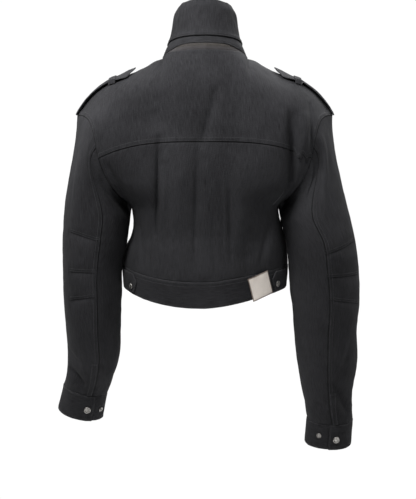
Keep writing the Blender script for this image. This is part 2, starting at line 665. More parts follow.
def top_edge(face):
    """The neck's edge and the shoulder seam."""
    neck = NECK_HALF_WIDTH * np.sin(np.linspace(0, np.pi / 2, NECK_COLUMNS + 1))
    tip = ARMHOLE["back_x"][0]
    shoulder = np.linspace(NECK_HALF_WIDTH, tip, HALF_COLUMNS - NECK_COLUMNS + 1)[1:]
    x = np.concatenate((neck, shoulder))
    return pairs(x, top_height(x, face))


def armhole_edge(face, start, end, rows, ease=1.0):
    """The armhole seam between two turns."""
    name = "back" if face > 0 else "front"
    turn = start + (end - start) * np.linspace(0, 1, rows + 1) ** ease
    return pairs(read(ARMHOLE, name + "_x", turn), read(ARMHOLE, name + "_z", turn))


def side_edge(side):
    """The side seam from the armpit to the waist seam."""
    z = np.linspace(SIDE_SEAM_TOP, WAIST_Z["side"], SIDE_ROWS + 1)
    return pairs(read(TORSO, side, z), z)


def waist_angles():
    """The angles round the waist, from the middle to the side, that the columns stand at."""
    return np.degrees(np.arcsin(np.clip(section_shares() ** (TORSO_POWER / 2), 0, 1)))


def waist_edge(side, face):
    """The waist seam of a half, from the middle to the side."""
    angle = waist_angles()
    angle = angle if face > 0 else 180 - angle
    points = waist_points(angle if side == "left" else -angle, 0.0)
    points[-1, 0] = read(TORSO, side, WAIST_Z["side"])
    return np.abs(points[:, [0, 2]]) * (1, -1)


def yoke_edge(side):
    """The yoke seam of a half. On the right it dips where it crosses the shoulder's fold."""
    end_x, end_z = armhole_edge(1, YOKE_TURN, YOKE_TURN, 1)[0]
    shares = section_shares()
    x = end_x * shares
    z = YOKE_Z + (end_z - YOKE_Z) * shares ** YOKE_BOW
    for place, reach, depth in SEAM_DIPS if side == "right" else ():
        z = z - depth * blend(1 - np.abs(x - place) / reach)
    return pairs(x, z)


def middle_edge(top, bottom, rows, ease):
    """The middle line between two heights."""
    return pairs(0.0, top + (bottom - top) * np.linspace(0, 1, rows + 1) ** ease)


def half_grids(side):
    """The (x, z) grids of one side's half, with x outward: yoke, back and front."""
    yoke_side = armhole_edge(1, 0, YOKE_TURN, YOKE_ROWS, EASE["yoke"])
    yoke_middle = middle_edge(NECK_BACK_Z, YOKE_Z, YOKE_ROWS, EASE["yoke middle"])
    yoke = filled(top_edge(1), yoke_edge(side), yoke_middle, yoke_side)
    back_side = np.concatenate((armhole_edge(1, YOKE_TURN, 1, BACK_ARMHOLE_ROWS),
                                side_edge(side)[1:]))
    back_middle = middle_edge(YOKE_Z, WAIST_Z["back"], BACK_ARMHOLE_ROWS + SIDE_ROWS, 1.0)
    back = filled(yoke_edge(side), waist_edge(side, 1), back_middle, back_side)
    front_side = np.concatenate((armhole_edge(-1, 0, 1, FRONT_ARMHOLE_ROWS, EASE["front"]),
                                 side_edge(side)[1:]))
    front_middle = middle_edge(NECK_FRONT_Z, WAIST_Z["front"], FRONT_ARMHOLE_ROWS + SIDE_ROWS,
                               EASE["front middle"])
    front = filled(top_edge(-1), waist_edge(side, -1), front_middle, front_side)
    return yoke, back, front


def torso_grids():
    """Points of the yoke, the back and the two fronts; their columns run from -X to +X."""
    mirror = np.array((-1.0, 1.0))
    left, right = half_grids("left"), [grid * mirror for grid in half_grids("right")]
    grids = {
        "back_yoke": (np.concatenate((right[0][:, :0:-1], left[0]), axis=1), 1),
        "back_panel": (np.concatenate((right[1][:, :0:-1], left[1]), axis=1), 1),
        "front_left": (left[2], -1),
        "front_right": (right[2][:, ::-1], -1),
    }
    return {name: torso_points(grid[..., 0], grid[..., 1], face)
            for name, (grid, face) in grids.items()}


def armhole_loop(side):
    """The armhole's points from the shoulder tip, down the back and up the front.

    With them come the directions in which the torso's cloth runs out of the seam.
    """
    hand, edge = SIDES[side], {}
    back = np.concatenate((armhole_edge(1, 0, YOKE_TURN, YOKE_ROWS, EASE["yoke"])[:-1],
                           armhole_edge(1, YOKE_TURN, 1, BACK_ARMHOLE_ROWS)))
    front = armhole_edge(-1, 0, 1, FRONT_ARMHOLE_ROWS, EASE["front"])[-2::-1]
    for name, line, face in (("back", back, 1), ("front", front, -1)):
        x, z = line.T
        edge[name] = (torso_points(hand * x, z, face),
                      torso_points(hand * (x - ARMHOLE_STEP), z, face))
    loop, beside = (np.concatenate((edge["back"][i], edge["front"][i])) for i in (0, 1))
    seam = unit(np.gradient(loop, axis=0))
    out = unit(loop - beside)
    return loop, unit(out - np.sum(out * seam, axis=-1, keepdims=True) * seam)


def sleeve_grid(side):
    """A whole sleeve's grid, from the armhole to the cuff, with its first column repeated."""
    rings = SLEEVES[side]["z"]
    angle = np.linspace(0, 360, SLEEVE_COLUMNS + 1)
    z = np.linspace(rings[-1], rings[0], SLEEVE_ROWS + 1)
    arm = sleeve_points(side, angle[None, :], z[:, None])
    loop, out = armhole_loop(side)
    hand = SIDES[side]
    turn = np.radians(angle)
    leave = SLEEVE_SPREAD * np.sin(turn)[:, None] ** 2 * out
    leave[:, 0] += hand * (SLEEVE_LEAVES[side] + (ARMPIT_LEAVES - SLEEVE_LEAVES[side])
                           * (1 - np.cos(turn)) / 2)
    leave[:, 2] -= 1.0
    reach = np.linalg.norm(arm[0] - loop, axis=-1, keepdims=True)
    start, end = reach * unit(leave), reach * unit(arm[2] - arm[0])
    t = np.linspace(0, 1, SLEEVE_HEAD_ROWS + 1)[:-1, None, None]
    head = ((1 + 2 * t) * (1 - t) ** 2 * loop + t * (1 - t) ** 2 * start
            + t * t * (3 - 2 * t) * arm[0] - t * t * (1 - t) * end)
    return np.concatenate((head, arm))


def sleeve_grids(side):
    """The grids of a sleeve's top and under pieces."""
    grid = sleeve_grid(side)
    ring = grid[:, :-1]
    top = np.roll(ring, -FRONT_SEAM_COLUMN, axis=1)
    top_count = SLEEVE_COLUMNS - FRONT_SEAM_COLUMN + BACK_SEAM_COLUMN + 1
    under = ring[:, BACK_SEAM_COLUMN:FRONT_SEAM_COLUMN + 1]
    return {f"sleeve_{side}_top": top[:, :top_count], f"sleeve_{side}_under": under}


def collar_grid(start, end, foot, top, rows):
    """A grid on the collar between two angles, from its top row down; foot may be a function."""
    angle = np.linspace(start, end, int(abs(end - start) / COLLAR_STEP) + 1)
    foot = foot(angle) if callable(foot) else foot + 0 * angle
    share = np.linspace(1, 0, rows + 1)[:, None]
    return collar_points(angle[None, :], foot + (top - foot) * share)


def band_foot(angle):
    """The collar band's lower edge.

    It hangs lower over the zip at both sides, and steps down to the neck seam where the zip ends.
    """
    angle = np.abs(angle)
    starts, ends = ((angle - at) / over for at, over in (HANGS_FROM, HANGS_TO))
    hangs = BAND_HANGS * blend(starts) * (1 - blend(ends))
    return BAND_FOOT * (1 - hangs) * (1 - blend((angle - ZIP_REACH) / ZIP_END))


def cuff_grid(side):
    """A band once round the wrist, whose far end goes on under its upper end."""
    rows, columns = CUFF_GRID
    sweep = np.linspace(0, 360 + CUFF_LAP, columns)[None, :]
    share = np.linspace(0, 1, rows)[:, None]
    inward = (DOUBLE + CLEAR) * blend((sweep - CUFF_GOES_IN[0]) / CUFF_GOES_IN[1])
    return cuff_points(side, CUFF_EDGE[side] - sweep, share, inward)


def sleeve_placket_grid(side):
    """The narrow strip beside the cuff's slit, on the sleeve's top piece."""
    z_end = SLEEVES[side]["z"][0]
    z = np.linspace(z_end + SLEEVE_PLACKET["length"], z_end + SLEEVE_PLACKET["gap"], 25)[:, None]
    start = 360 * BACK_SEAM_COLUMN / SLEEVE_COLUMNS - SLEEVE_PLACKET["beside"]
    width = math.degrees(SLEEVE_PLACKET["width"] / SLEEVES[side]["half_width"][0])
    angle = np.linspace(start, start - width, 7)[None, :]
    return sleeve_points(side, angle, z)


def placket_grid():
    """The strip that covers the closed front, from the collar's top to the hem, and its lift.

    Where the collar's part meets the front's, and along the whole lift, rows are evened out.
    """
    x = np.linspace(-PLACKET_HALF_WIDTH, PLACKET_HALF_WIDTH, 15)[None, :]
    collar_rows, front_rows = PLACKET_ROWS
    height = np.linspace(1.0, PLACKET_COLLAR_END, collar_rows)[:, None]
    angle = 180 - np.degrees(np.arcsin(x / read(COLLAR, "half_width", height)))
    collar = collar_points(angle, height)
    z = np.linspace(NECK_FRONT_Z - PLACKET_NECK_DROP, HEM_Z["front"] + PLACKET_HEM_GAP,
                    front_rows)[:, None]
    front = torso_points(*np.broadcast_arrays(x, z), -1)
    points = np.concatenate((collar, front))
    rises_at, over = PLACKET_OVER_BAND
    lift = np.concatenate((COLLAR_PROUD + 0 * height, BAND_PROUD * blend((rises_at - z) / over)))
    for values, first, last, times in ((points, collar_rows - 3, collar_rows + 4, 4),
                                       (lift, 1, len(lift) - 1, 20)):
        for _ in range(times):
            values[first:last] = (values[first - 1:last - 1] + 2 * values[first:last]
                                  + values[first + 1:last + 1]) / 4
    return points, lift + CLEAR + DOUBLE


def shoulder_height(x, y):
    """The height of the shoulder's cloth behind its ridge (y above 0) or before it."""
    ridge = read(RIDGE, "z", x)
    z = ridge
    for _ in range(5):
        full = np.where(y > 0, read(TORSO, "back", z), read(TORSO, "front", z))
        section = np.clip(1 - (x / read(TORSO, "left", z)) ** TORSO_POWER, 0, 1)
        level = np.clip(y / (full * section ** (1 / ROUND_POWER)), -1, 1)
        z = ridge - read(RIDGE, "round", x) * (1 - np.sqrt(1 - level ** 2))
    return z


def strap_points(side, x, y, lift=0.0):
    """Points on a shoulder strap's under face, at a distance y behind its middle line."""
    lift_x, tilt, crown, shift = (read(EPAULETTE, name, x) for name in EPAULETTE if name != "x")
    z = read(RIDGE, "z", x) + lift_x + lift - tilt * y - crown * y * y
    return np.stack(np.broadcast_arrays(SIDES[side] * x, y + shift, z), axis=-1)


def epaulette_grid(side):
    """A shoulder strap with a pointed free end."""
    across = np.linspace(-EPAULETTE_HALF_WIDTH, EPAULETTE_HALF_WIDTH, 17)[None, :]
    along = np.linspace(0, 1, 48)[:, None]
    start = EPAULETTE["x"][0] + EPAULETTE_POINT * np.abs(across) / EPAULETTE_HALF_WIDTH
    x = start + (EPAULETTE["x"][-1] - start) * along
    return strap_points(side, x, across)


def loop_grid(side):
    """The narrow loop that holds the shoulder strap down."""
    half = EPAULETTE_LOOP_WIDTH / 2
    x = np.linspace(EPAULETTE_LOOP_X - half, EPAULETTE_LOOP_X + half, 7)[:, None]
    y = EPAULETTE_HALF_WIDTH * np.linspace(-EPAULETTE_LOOP_REACH, EPAULETTE_LOOP_REACH, 41)[None, :]
    band = strap_points(side, x, y, DOUBLE + ON_CURVE)
    drop = blend((np.abs(y) / EPAULETTE_HALF_WIDTH - EPAULETTE_LOOP_DROP[0])
                 / EPAULETTE_LOOP_DROP[1])
    foot = shoulder_height(x, band[..., 1]) + EPAULETTE_LOOP_FOOT
    band[..., 2] += (foot - band[..., 2]) * drop
    return band


def tab_grid(side):
    """A waist tab with a pointed end, on the waistband's side."""
    share = np.linspace(TAB_TOP, TAB_FOOT, 15)
    point = TAB_POINT * (1 - np.abs(share - TAB_TIP[0]) / TAB_TIP[1])
    end = TAB_END[side] + TAB_POINT - np.clip(point, 0, None)
    along = np.linspace(0, 1, 29)[None, :]
    angle = TAB_START[side] + (end[:, None] - TAB_START[side]) * along
    return waist_points(SIDES[side] * angle, share[:, None])


def patch_grid():
    """The sewn patch over the waistband, turned a little."""
    half_width, half_height = PATCH_SIZE[0] / 2, PATCH_SIZE[1] / 2
    across = np.linspace(-half_width, half_width, 21)[None, :]
    up = np.linspace(half_height, -half_height, 21)[:, None]
    aside = across * math.cos(PATCH_TURN) + up * math.sin(PATCH_TURN)
    x = PATCH_CENTRE[0] + PATCH_ASIDE * aside
    z = PATCH_CENTRE[1] - across * math.sin(PATCH_TURN) + up * math.cos(PATCH_TURN)
    return torso_points(x, z, 1)


# ---- cloth walls

EDGES = ("top", "bottom", "first", "last")      # a grid's first and last rows and columns
BESIDE = (0.07, 0.18, 0.34, 0.54, 0.77, 1.5, 2.5)   # grid lines added beside an edge, in steps
FAR = 0.05                                      # a distance that no seam's relief reaches
PUCKER_REACH = 0.008                            # how far from a seam its puckers die away
SMOOTH_TO = math.radians(55)                    # sharper edges of the cloth stay sharp
SEWN = {}                                       # rows of stitches by group: (points, normals)
MADE = {}                                       # the cloth pieces by their CAD node


def uneven(points, size, seed):
    """Smooth noise from -1 to 1 at points in space, the same in every piece that meets there."""
    lattice = np.random.default_rng(seed).uniform(-1, 1, (32, 32, 32))
    cell = np.floor(points / size).astype(int)
    part = points / size - cell
    part = part * part * (3 - 2 * part)
    total = 0.0
    for corner in np.ndindex(2, 2, 2):
        weight = np.prod(np.where(corner, part, 1 - part), axis=-1)
        x, y, z = np.moveaxis((cell + corner) % 32, -1, 0)
        total = total + weight * lattice[x, y, z]
    return total


def finer(count):
    """Places of grid lines from 0 to count - 1, closer together near both ends."""
    near = np.array([place for place in BESIDE if place < count / 2 - 1])
    return np.unique(np.concatenate((np.arange(count), near, count - 1 - near)))


def sampled(grid, rows, columns):
    """A grid read between its lines."""
    for axis, places in ((0, rows), (1, columns)):
        low = np.clip(places.astype(int), 0, grid.shape[axis] - 2)
        part = (places - low).reshape((-1, 1, 1) if axis == 0 else (1, -1, 1))
        grid = (np.take(grid, low, axis) * (1 - part) + np.take(grid, low + 1, axis) * part)
    return grid


def straightened(lengths, places):
    """Lengths along a grid's rows, kept smooth from row to row so that the weave runs straight."""
    rows = np.vander(2 * places / places[-1] - 1, 4)
    return rows @ np.linalg.lstsq(rows, lengths, rcond=None)[0]


def bell(away, middle, width):
    """A rounded ridge, 1 high, at a distance from an edge."""
    return np.exp(-((away - middle) / width) ** 2)


def relief(away, kind, lap):
    """How far the cloth rises beside an edge of a kind, at distances from it.

    A lap lies over its seam allowance and rolls down at its edge; what goes under it is pressed
    in; a folded edge sinks along its row of stitches, as a lap does along both of its own.
    """
    if kind == "lap":
        raised = lap * blend((SEAM_ALLOWANCE + 0.0025 - away) / 0.003)
        rolled = 1.3 * lap * bell(away, 0, 0.0006)
        near, far = ROWS["lap"]
        return raised - rolled - SEWN_IN * (bell(away, near, 0.0008) + bell(away, far, 0.0009))
    if kind == "under":
        return -0.0005 * bell(away, 0, 0.0018)
    if kind == "fold":
        return -SEWN_IN * bell(away, FOLD_ROW, 0.0008)
    return 0 * away


class Cloth:
    """A cut piece on the garment: a fine grid with relief, made into a closed thin wall."""

    def __init__(self, node, points, inside, edges, proud=0.0, thickness=CLOTH, pucker=1.0):
        self.node, self.tree = node, None
        settings = bpy.context.scene.jacket_cloth
        self.edges = dict(zip(EDGES, edges))
        rows, columns = finer(points.shape[0]), finer(points.shape[1])
        proud = np.broadcast_to(np.asarray(proud, float), points.shape[:2])[..., None]
        proud = sampled(proud, rows, columns)[..., 0]
        normals = unit(np.cross(np.gradient(points, axis=1), np.gradient(points, axis=0)))
        self.sign = 1 if np.sum(normals * (points - inside)) > 0 else -1
        self.normals = self.sign * unit(sampled(normals, rows, columns))
        base = sampled(points, rows, columns)
        across = np.linalg.norm(np.diff(base, axis=1), axis=-1).cumsum(axis=1)
        down = np.linalg.norm(np.diff(base, axis=0), axis=-1).cumsum(axis=0)
        across = np.pad(across, ((0, 0), (1, 0)))
        down = np.pad(down, ((1, 0), (0, 0)))
        self.away = {"top": down, "bottom": down[-1] - down, "first": across,
                     "last": across[:, -1:] - across}
        self.weave = np.stack((straightened(across - across[:, -1:] / 2, rows),
                               -straightened(down.T, columns).T), axis=-1)
        self.seam, fold = self.nearest("lap", "under"), self.nearest("fold")
        drawn = uneven(base, PUCKER_SIZE, 5) + 0.5 * uneven(base, PUCKER_SIZE / 2, 7)
        drawn = pucker * np.exp(-self.nearest("lap", "under", "fold") / PUCKER_REACH) * drawn
        soft = uneven(base * (1.0, 1.0, 0.6), HAND_SIZE, 3) + 0.4 * uneven(base, HAND_SIZE / 3, 4)
        rise = proud + settings.pucker_depth * drawn + settings.hand_depth * soft
        for edge, kind in self.edges.items():
            rise = rise + relief(self.away[edge], kind, settings.lap_height)
        roll = 0.36 * thickness * bell(fold, 0, 0.0007)
        self.outer = base + (rise - roll)[..., None] * self.normals
        self.inner = base + (rise - thickness + roll)[..., None] * self.normals
        self.wear = (0.9 * bell(fold, 0, 0.0016) + 0.6 * np.clip(drawn, 0, 1)
                     + 0.35 * bell(self.seam, 0.0012, 0.0012))
        MADE[node] = self

    def nearest(self, *kinds):
        """The distance to the nearest edge of these kinds, at each point."""
        away = [self.away[edge] for edge, kind in self.edges.items() if kind in kinds]
        return np.min(away, axis=0) if away else np.full(self.away["top"].shape, FAR)

    def faces(self):
        """The numbers of the outer face's points, on their grid, and its quads."""
        rows, columns = self.outer.shape[:2]
        i = np.arange(rows * columns).reshape(rows, columns)
        corners = (i[:-1, :-1], i[:-1, 1:], i[1:, 1:], i[1:, :-1])
        return i, np.stack(corners, axis=-1).reshape(-1, 4)

    def build(self, finish="denim", warp="down"):
        """The wall as an object that rides on the jacket in place of its CAD node."""
        index, outer = self.faces()
        layer = index.size
        inner = outer[:, ::-1] + layer
        rims = [rim(index[0, ::-1], layer), rim(index[-1], layer),
                rim(index[:, 0], layer), rim(index[::-1, -1], layer)]
        quads = np.concatenate((outer, inner, *rims))
        if self.sign < 0:
            quads = quads[:, ::-1]
        verts = np.concatenate((self.outer.reshape(-1, 3), self.inner.reshape(-1, 3)))
        weave = self.weave if warp == "down" else self.weave[..., ::-1]
        shift = np.random.default_rng(len(MADE)).uniform(0, 1, 2)
        weave = np.tile(weave.reshape(-1, 2) + shift, (2, 1))
        mesh = bpy.data.meshes.new(self.node + "_cloth")
        mesh.from_pydata(verts.tolist(), [], quads.tolist())
        layers = {"wear": (self.wear, self.wear * 0), "seam": (self.seam, self.seam * 0 + FAR),
                  "reverse": (self.wear * 0, self.wear * 0 + 1)}
        for name, (front, back) in layers.items():
            values = np.concatenate((front.ravel(), back.ravel())).astype(np.float32)
            mesh.attributes.new(name, "FLOAT", "POINT").data.foreach_set("value", values)
        uv = mesh.uv_layers.new(name="weave")
        uv.data.foreach_set("uv", weave[quads.ravel()].astype(np.float32).ravel())
        mesh.shade_smooth()
        mesh.set_sharp_from_angle(angle=SMOOTH_TO)
        obj = linked(self.node + "_cloth", mesh)
        mesh.materials.append(material(finish))
        ride(obj, finish, self.node)

    def line(self, edge, offset, start=0.0, end=1.0):
        """Points and normals on the outer face along a line this far in from an edge."""
        grids = [self.away[edge], self.outer, self.normals]
        if edge in ("first", "last"):
            grids = [np.swapaxes(grid, 0, 1) for grid in grids]
        away, outer, normals = (grid[::-1] if edge in ("bottom", "last") else grid for grid in grids)
        after = np.clip((away < offset).sum(axis=0), 1, len(away) - 1)
        every = np.arange(away.shape[1])
        low, high = away[after - 1, every], away[after, every]
        part = ((offset - low) / np.maximum(high - low, 1e-9))[:, None]
        points = outer[after - 1, every] * (1 - part) + outer[after, every] * part
        facing = unit(normals[after - 1, every] * (1 - part) + normals[after, every] * part)
        keep = slice(int(start * (len(points) - 1)), int(end * (len(points) - 1)) + 1)
        return points[keep], facing[keep]

    def sew(self, group, edge, rows, start=0.0, end=1.0):
        """Note rows of stitches along part of an edge; rows names their distances from it."""
        for offset in ROWS[rows]:
            SEWN.setdefault(group, []).append(self.line(edge, offset, start, end))

    def touch(self, points):
        """The nearest points on the outer face, and the normals there."""
        if self.tree is None:
            self.tree = BVHTree.FromPolygons(self.outer.reshape(-1, 3).tolist(),
                                             self.faces()[1].tolist())
        found = [self.tree.find_nearest(Vector(point)) for point in points]
        return (np.array([tuple(hit[0]) for hit in found]),
                np.array([tuple(hit[1]) for hit in found]) * self.sign)

    def sew_over(self, group, path):
        """Note a row of stitches along a path near the piece, drawn onto its outer face."""
        SEWN.setdefault(group, []).append(self.touch(path))


def sewn(group, node, points, inside, edges, proud, thickness, pucker, *rows, **way):
    """Cut and build a piece and note its stitches; rows hold what sew takes after the group."""
    cloth = Cloth(node, points, inside, edges, proud, thickness, pucker)
    cloth.build(**way)
    for row in rows:
        cloth.sew(group, *row)


def rim(edge, layer):
    """Quads between the outer and the inner face along an edge."""
    start, end = edge[:-1], edge[1:]
    return np.stack((start, end, end + layer, start + layer), axis=-1)


def level_axis(points):
    """The points of the garment's upright middle line level with these."""
    return points * np.array((0.0, 0.0, 1.0))


def linked(name, data):
    """A new object of the scene."""
    obj = bpy.data.objects.new(name, data)
    bpy.context.scene.collection.objects.link(obj)
    return obj


def ride(obj, slot, *nodes):
    """The object moves with the jacket, in place of CAD nodes and in their material slot."""
    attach(obj, BODY)
    if nodes:
        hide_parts(*nodes)


# ---- finishes

def feed(tree, socket, value):
    """Link a socket to another one, or set it to a value."""
    if isinstance(value, bpy.types.NodeSocket):
        tree.links.new(value, socket)
    else:
        socket.default_value = value


def add(tree, kind, inputs=None, **settings):
    """A node with its settings and inputs."""
    node = tree.nodes.new(kind)
    for name, value in settings.items():
        setattr(node, name, value)
    for name, value in (inputs or {}).items():
        feed(tree, node.inputs[name], value)
    return node


def noise(tree, vector, scale, detail=2.0, rough=0.5):
    """Noise with a scale along each axis, as a socket from 0 to 1."""
    placed = add(tree, "ShaderNodeMapping", {"Vector": vector, "Scale": scale})
    texture = add(tree, "ShaderNodeTexNoise", {"Vector": placed.outputs[0], "Scale": 1.0,
                                               "Detail": detail, "Roughness": rough})
    return texture.outputs["Fac"]


def attribute(tree, name):
    """A piece's own attribute as a socket."""
    return add(tree, "ShaderNodeAttribute", attribute_name=name).outputs["Fac"]


def in_object(tree):
    """The place in the object, in metres."""
    return add(tree, "ShaderNodeTexCoord").outputs["Object"]


def in_weave(tree):
    """The place along the weft and the warp, in metres."""
    return add(tree, "ShaderNodeUVMap", uv_map="weave").outputs["UV"]


def ribs(tree, vector, scale, distortion, direction):
    """Fine waves in a direction, as a socket from 0 to 1."""
    return add(tree, "ShaderNodeTexWave", {"Vector": vector, "Scale": scale, "Distortion": distortion,
                                           "Detail": 1.0}, bands_direction=direction).outputs["Fac"]


def ranged(tree, value, low, high, start=0.0, end=1.0):
    """A value's range turned into another, with smooth ends."""
    node = add(tree, "ShaderNodeMapRange", {"Value": value, "From Min": low, "From Max": high,
                                            "To Min": start, "To Max": end},
               interpolation_type="SMOOTHSTEP")
    return node.outputs["Result"]


def sum_of(tree, *terms):
    """The sum of (socket, weight) terms."""
    total = None
    for socket, weight in terms:
        inputs = {0: socket, 1: weight, 2: 0.0 if total is None else total}
        total = add(tree, "ShaderNodeMath", inputs, operation="MULTIPLY_ADD").outputs[0]
    return total


def product(tree, a, b):
    """Two numbers multiplied."""
    return add(tree, "ShaderNodeMath", {0: a, 1: b}, operation="MULTIPLY").outputs[0]


def mixed(tree, factor, a, b, way="MIX"):
    """Two colours mixed; a and b are sockets or colours."""
    a, b = (value if isinstance(value, bpy.types.NodeSocket) else (*value[:3], 1.0)
            for value in (a, b))
    return add(tree, "ShaderNodeMix", {0: factor, 6: a, 7: b}, data_type="RGBA",
               blend_type=way).outputs[2]


def dimmed(tree, colour, share):
    """A colour times a number."""
    shade = add(tree, "ShaderNodeCombineColor", {"Red": share, "Green": share, "Blue": share})
    return mixed(tree, 1.0, colour, shade.outputs[0], "MULTIPLY")


def finished(tree, colour, height=None, distance=0.0003, strength=0.5, **sockets):
    """Link a material's colour and relief and set its shader's other sockets."""
    shader = tree.nodes["Principled BSDF"]
    tree.links.new(colour, shader.inputs["Base Color"])
    for socket, value in sockets.items():
        feed(tree, shader.inputs[socket.replace("_", " ")], value)
    if height is not None:
        bump = add(tree, "ShaderNodeBump", {"Height": height, "Distance": distance,
                                            "Strength": strength})
        tree.links.new(bump.outputs["Normal"], shader.inputs["Normal"])


def denim(tree, colours):
    """Charcoal twill, faded over the shoulders: slub streaks, worn ridges and a paler reverse."""
    weave, place = in_weave(tree), in_object(tree)
    threads = noise(tree, weave, (1150, 62, 1))
    slubs = noise(tree, weave, (520, 26, 1))
    wefts = noise(tree, weave, (90, 900, 1))
    grain = noise(tree, weave, (900, 700, 1))
    wash = noise(tree, place, (9, 9, 6), 3)
    diagonal = add(tree, "ShaderNodeMapping", {"Vector": weave, "Scale": (1.0, 0.5, 1.0)})
    twill = ribs(tree, diagonal.outputs[0], 300.0, 0.6, "DIAGONAL")
    tone = sum_of(tree, (threads, 0.48), (slubs, 0.26), (wefts, 0.16), (grain, 0.40),
                  (twill, 0.10), (wash, 0.42))
    tone = ranged(tree, tone, 0.55, 1.25)
    colour = mixed(tree, tone, colours.denim_dark, colours.denim_light)
    fleck = ranged(tree, noise(tree, weave, (1900, 520, 1), 1), 0.70, 0.80, 0.0, 0.30)
    colour = mixed(tree, fleck, colour, colours.denim_fleck)
    rubbed = product(tree, attribute(tree, "wear"), ranged(tree, wash, 0.25, 0.75, 0.25, 1.0))
    rubbed = product(tree, rubbed, ranged(tree, threads, 0.2, 0.7, 0.35, 0.9))
    colour = mixed(tree, rubbed, colour, colours.denim_worn)
    colour = dimmed(tree, colour, ranged(tree, attribute(tree, "seam"), 0.0004, 0.0020, 0.34, 1.0))
    height = add(tree, "ShaderNodeSeparateXYZ", {"Vector": place}).outputs["Z"]
    colour = dimmed(tree, colour, ranged(tree, height, -0.45, -0.06, 0.64, 1.0))
    back = mixed(tree, tone, colours.reverse_dark, colours.reverse_light)
    colour = mixed(tree, attribute(tree, "reverse"), colour, back)
    relief_of_weave = sum_of(tree, (twill, 0.5), (threads, 0.6), (grain, 0.35), (slubs, 0.5))
    finished(tree, colour, relief_of_weave, 0.00035, 0.55, Roughness=0.86,
             Specular_IOR_Level=0.06, Sheen_Weight=0.012, Sheen_Roughness=0.45)


def zip_tape(tree, colours):
    """Zip tape: a paler herringbone above the chain and a darker one below it."""
    weave = in_weave(tree)
    rows = noise(tree, weave, (500, 1400, 1))
    upper = ranged(tree, attribute(tree, "seam"), 0.0058, 0.0072)
    tone = sum_of(tree, (ribs(tree, weave, 420.0, 1.2, "X"), 0.35), (rows, 0.65))
    colour = mixed(tree, upper, colours.tape_dark, colours.tape_light)
    colour = mixed(tree, ranged(tree, tone, 0.2, 0.9, 0.0, 0.5), colour, colours.tape_gap)
    finished(tree, colour, tone, 0.0003, 0.5, Roughness=0.72, Specular_IOR_Level=0.3)


def old_metal(tree, colours):
    """Antiqued metal: darker in its clouds of patina, brighter where it is rubbed."""
    place = in_object(tree)
    patina = noise(tree, place, (520, 520, 520), 4, 0.6)
    clouds = noise(tree, place, (130, 130, 130))
    scratches = noise(tree, place, (2600, 700, 700))
    tone = sum_of(tree, (patina, 0.6), (clouds, 0.5))
    colour = mixed(tree, ranged(tree, tone, 0.35, 0.75), colours.metal_dark, colours.metal_light)
    finished(tree, colour, scratches, 0.00008, 0.4, Metallic=1.0,
             Roughness=ranged(tree, tone, 0.3, 0.8, 0.52, 0.30))


def chain_metal(tree, colours):
    """The zip chain's dull brown metal."""
    tarnish = noise(tree, in_object(tree), (210, 210, 210), 3, 0.6)
    colour = mixed(tree, ranged(tree, tarnish, 0.35, 0.65), colours.chain_dark, colours.chain_light)
    finished(tree, colour, tarnish, 0.0001, 0.3, Metallic=0.5, Roughness=0.5)


def patch_cloth(tree, colours):
    """A bare woven patch, off-white, with a thin brown overlocked edge."""
    weave = in_weave(tree)
    warp, weft = ribs(tree, weave, 620.0, 1.5, "X"), ribs(tree, weave, 560.0, 1.5, "Y")
    soil = noise(tree, in_object(tree), (60, 60, 60), 4, 0.6)
    threads = sum_of(tree, (warp, 0.5), (weft, 0.5), (noise(tree, weave, (900, 900, 1)), 0.4))
    colour = mixed(tree, ranged(tree, threads, 0.2, 1.1), colours.patch_dark, colours.patch_light)
    colour = mixed(tree, ranged(tree, soil, 0.50, 0.85, 0.0, 0.45), colour, colours.patch_dark)
    edge = ranged(tree, attribute(tree, "wear"), 0.15, 0.7, 0.0, 0.9)
    colour = mixed(tree, edge, colour, colours.patch_edge)
    finished(tree, colour, threads, 0.00025, 0.5, Roughness=0.7,
             Specular_IOR_Level=0.3, Sheen_Weight=0.08)


def thread(tree, colours):
    """Spun thread, twisted, in the denim's own grey."""
    place = in_object(tree)
    twist = noise(tree, place, (2600, 2600, 2600))
    tone = sum_of(tree, (twist, 0.5), (noise(tree, place, (45, 45, 45)), 0.5))
    colour = mixed(tree, ranged(tree, tone, 0.3, 0.7), colours.thread_dark, colours.thread_light)
    finished(tree, colour, twist, 0.0001, 0.4, Roughness=0.62, Specular_IOR_Level=0.3)


def seam_edge(tree, colours):
    """The dark pressed edge of a dart."""
    wash = noise(tree, in_object(tree), (300, 300, 300))
    colour = mixed(tree, ranged(tree, wash, 0.3, 0.7), colours.edge_dark, colours.denim_dark)
    finished(tree, colour, wash, 0.0001, 0.4, Roughness=0.9, Specular_IOR_Level=0.05)


def brown_thread(tree, colours):
    """The patch's brown thread."""
    twist = noise(tree, in_object(tree), (2600, 2600, 2600))
    colour = mixed(tree, ranged(tree, twist, 0.3, 0.7), colours.brown_dark, colours.patch_edge)
    finished(tree, colour, twist, 0.0001, 0.4, Roughness=0.6)


FINISHES = {finish.__name__: finish for finish in
            (denim, zip_tape, old_metal, chain_metal, patch_cloth, thread, seam_edge, brown_thread)}


def material(name):
    """The finish of this name, made the first time that it is asked for."""
    found = bpy.data.materials.get("jacket_" + name)
    if found is None:
        found = bpy.data.materials.new("jacket_" + name)
        found.use_nodes = True
        FINISHES[name](found.node_tree, bpy.context.scene.jacket_colours)
    return found


# ---- stitches, teeth and metal

METAL_SMOOTH_TO = math.radians(50)              # sharper edges of the metal stay sharp
LATHE_STEPS = 28
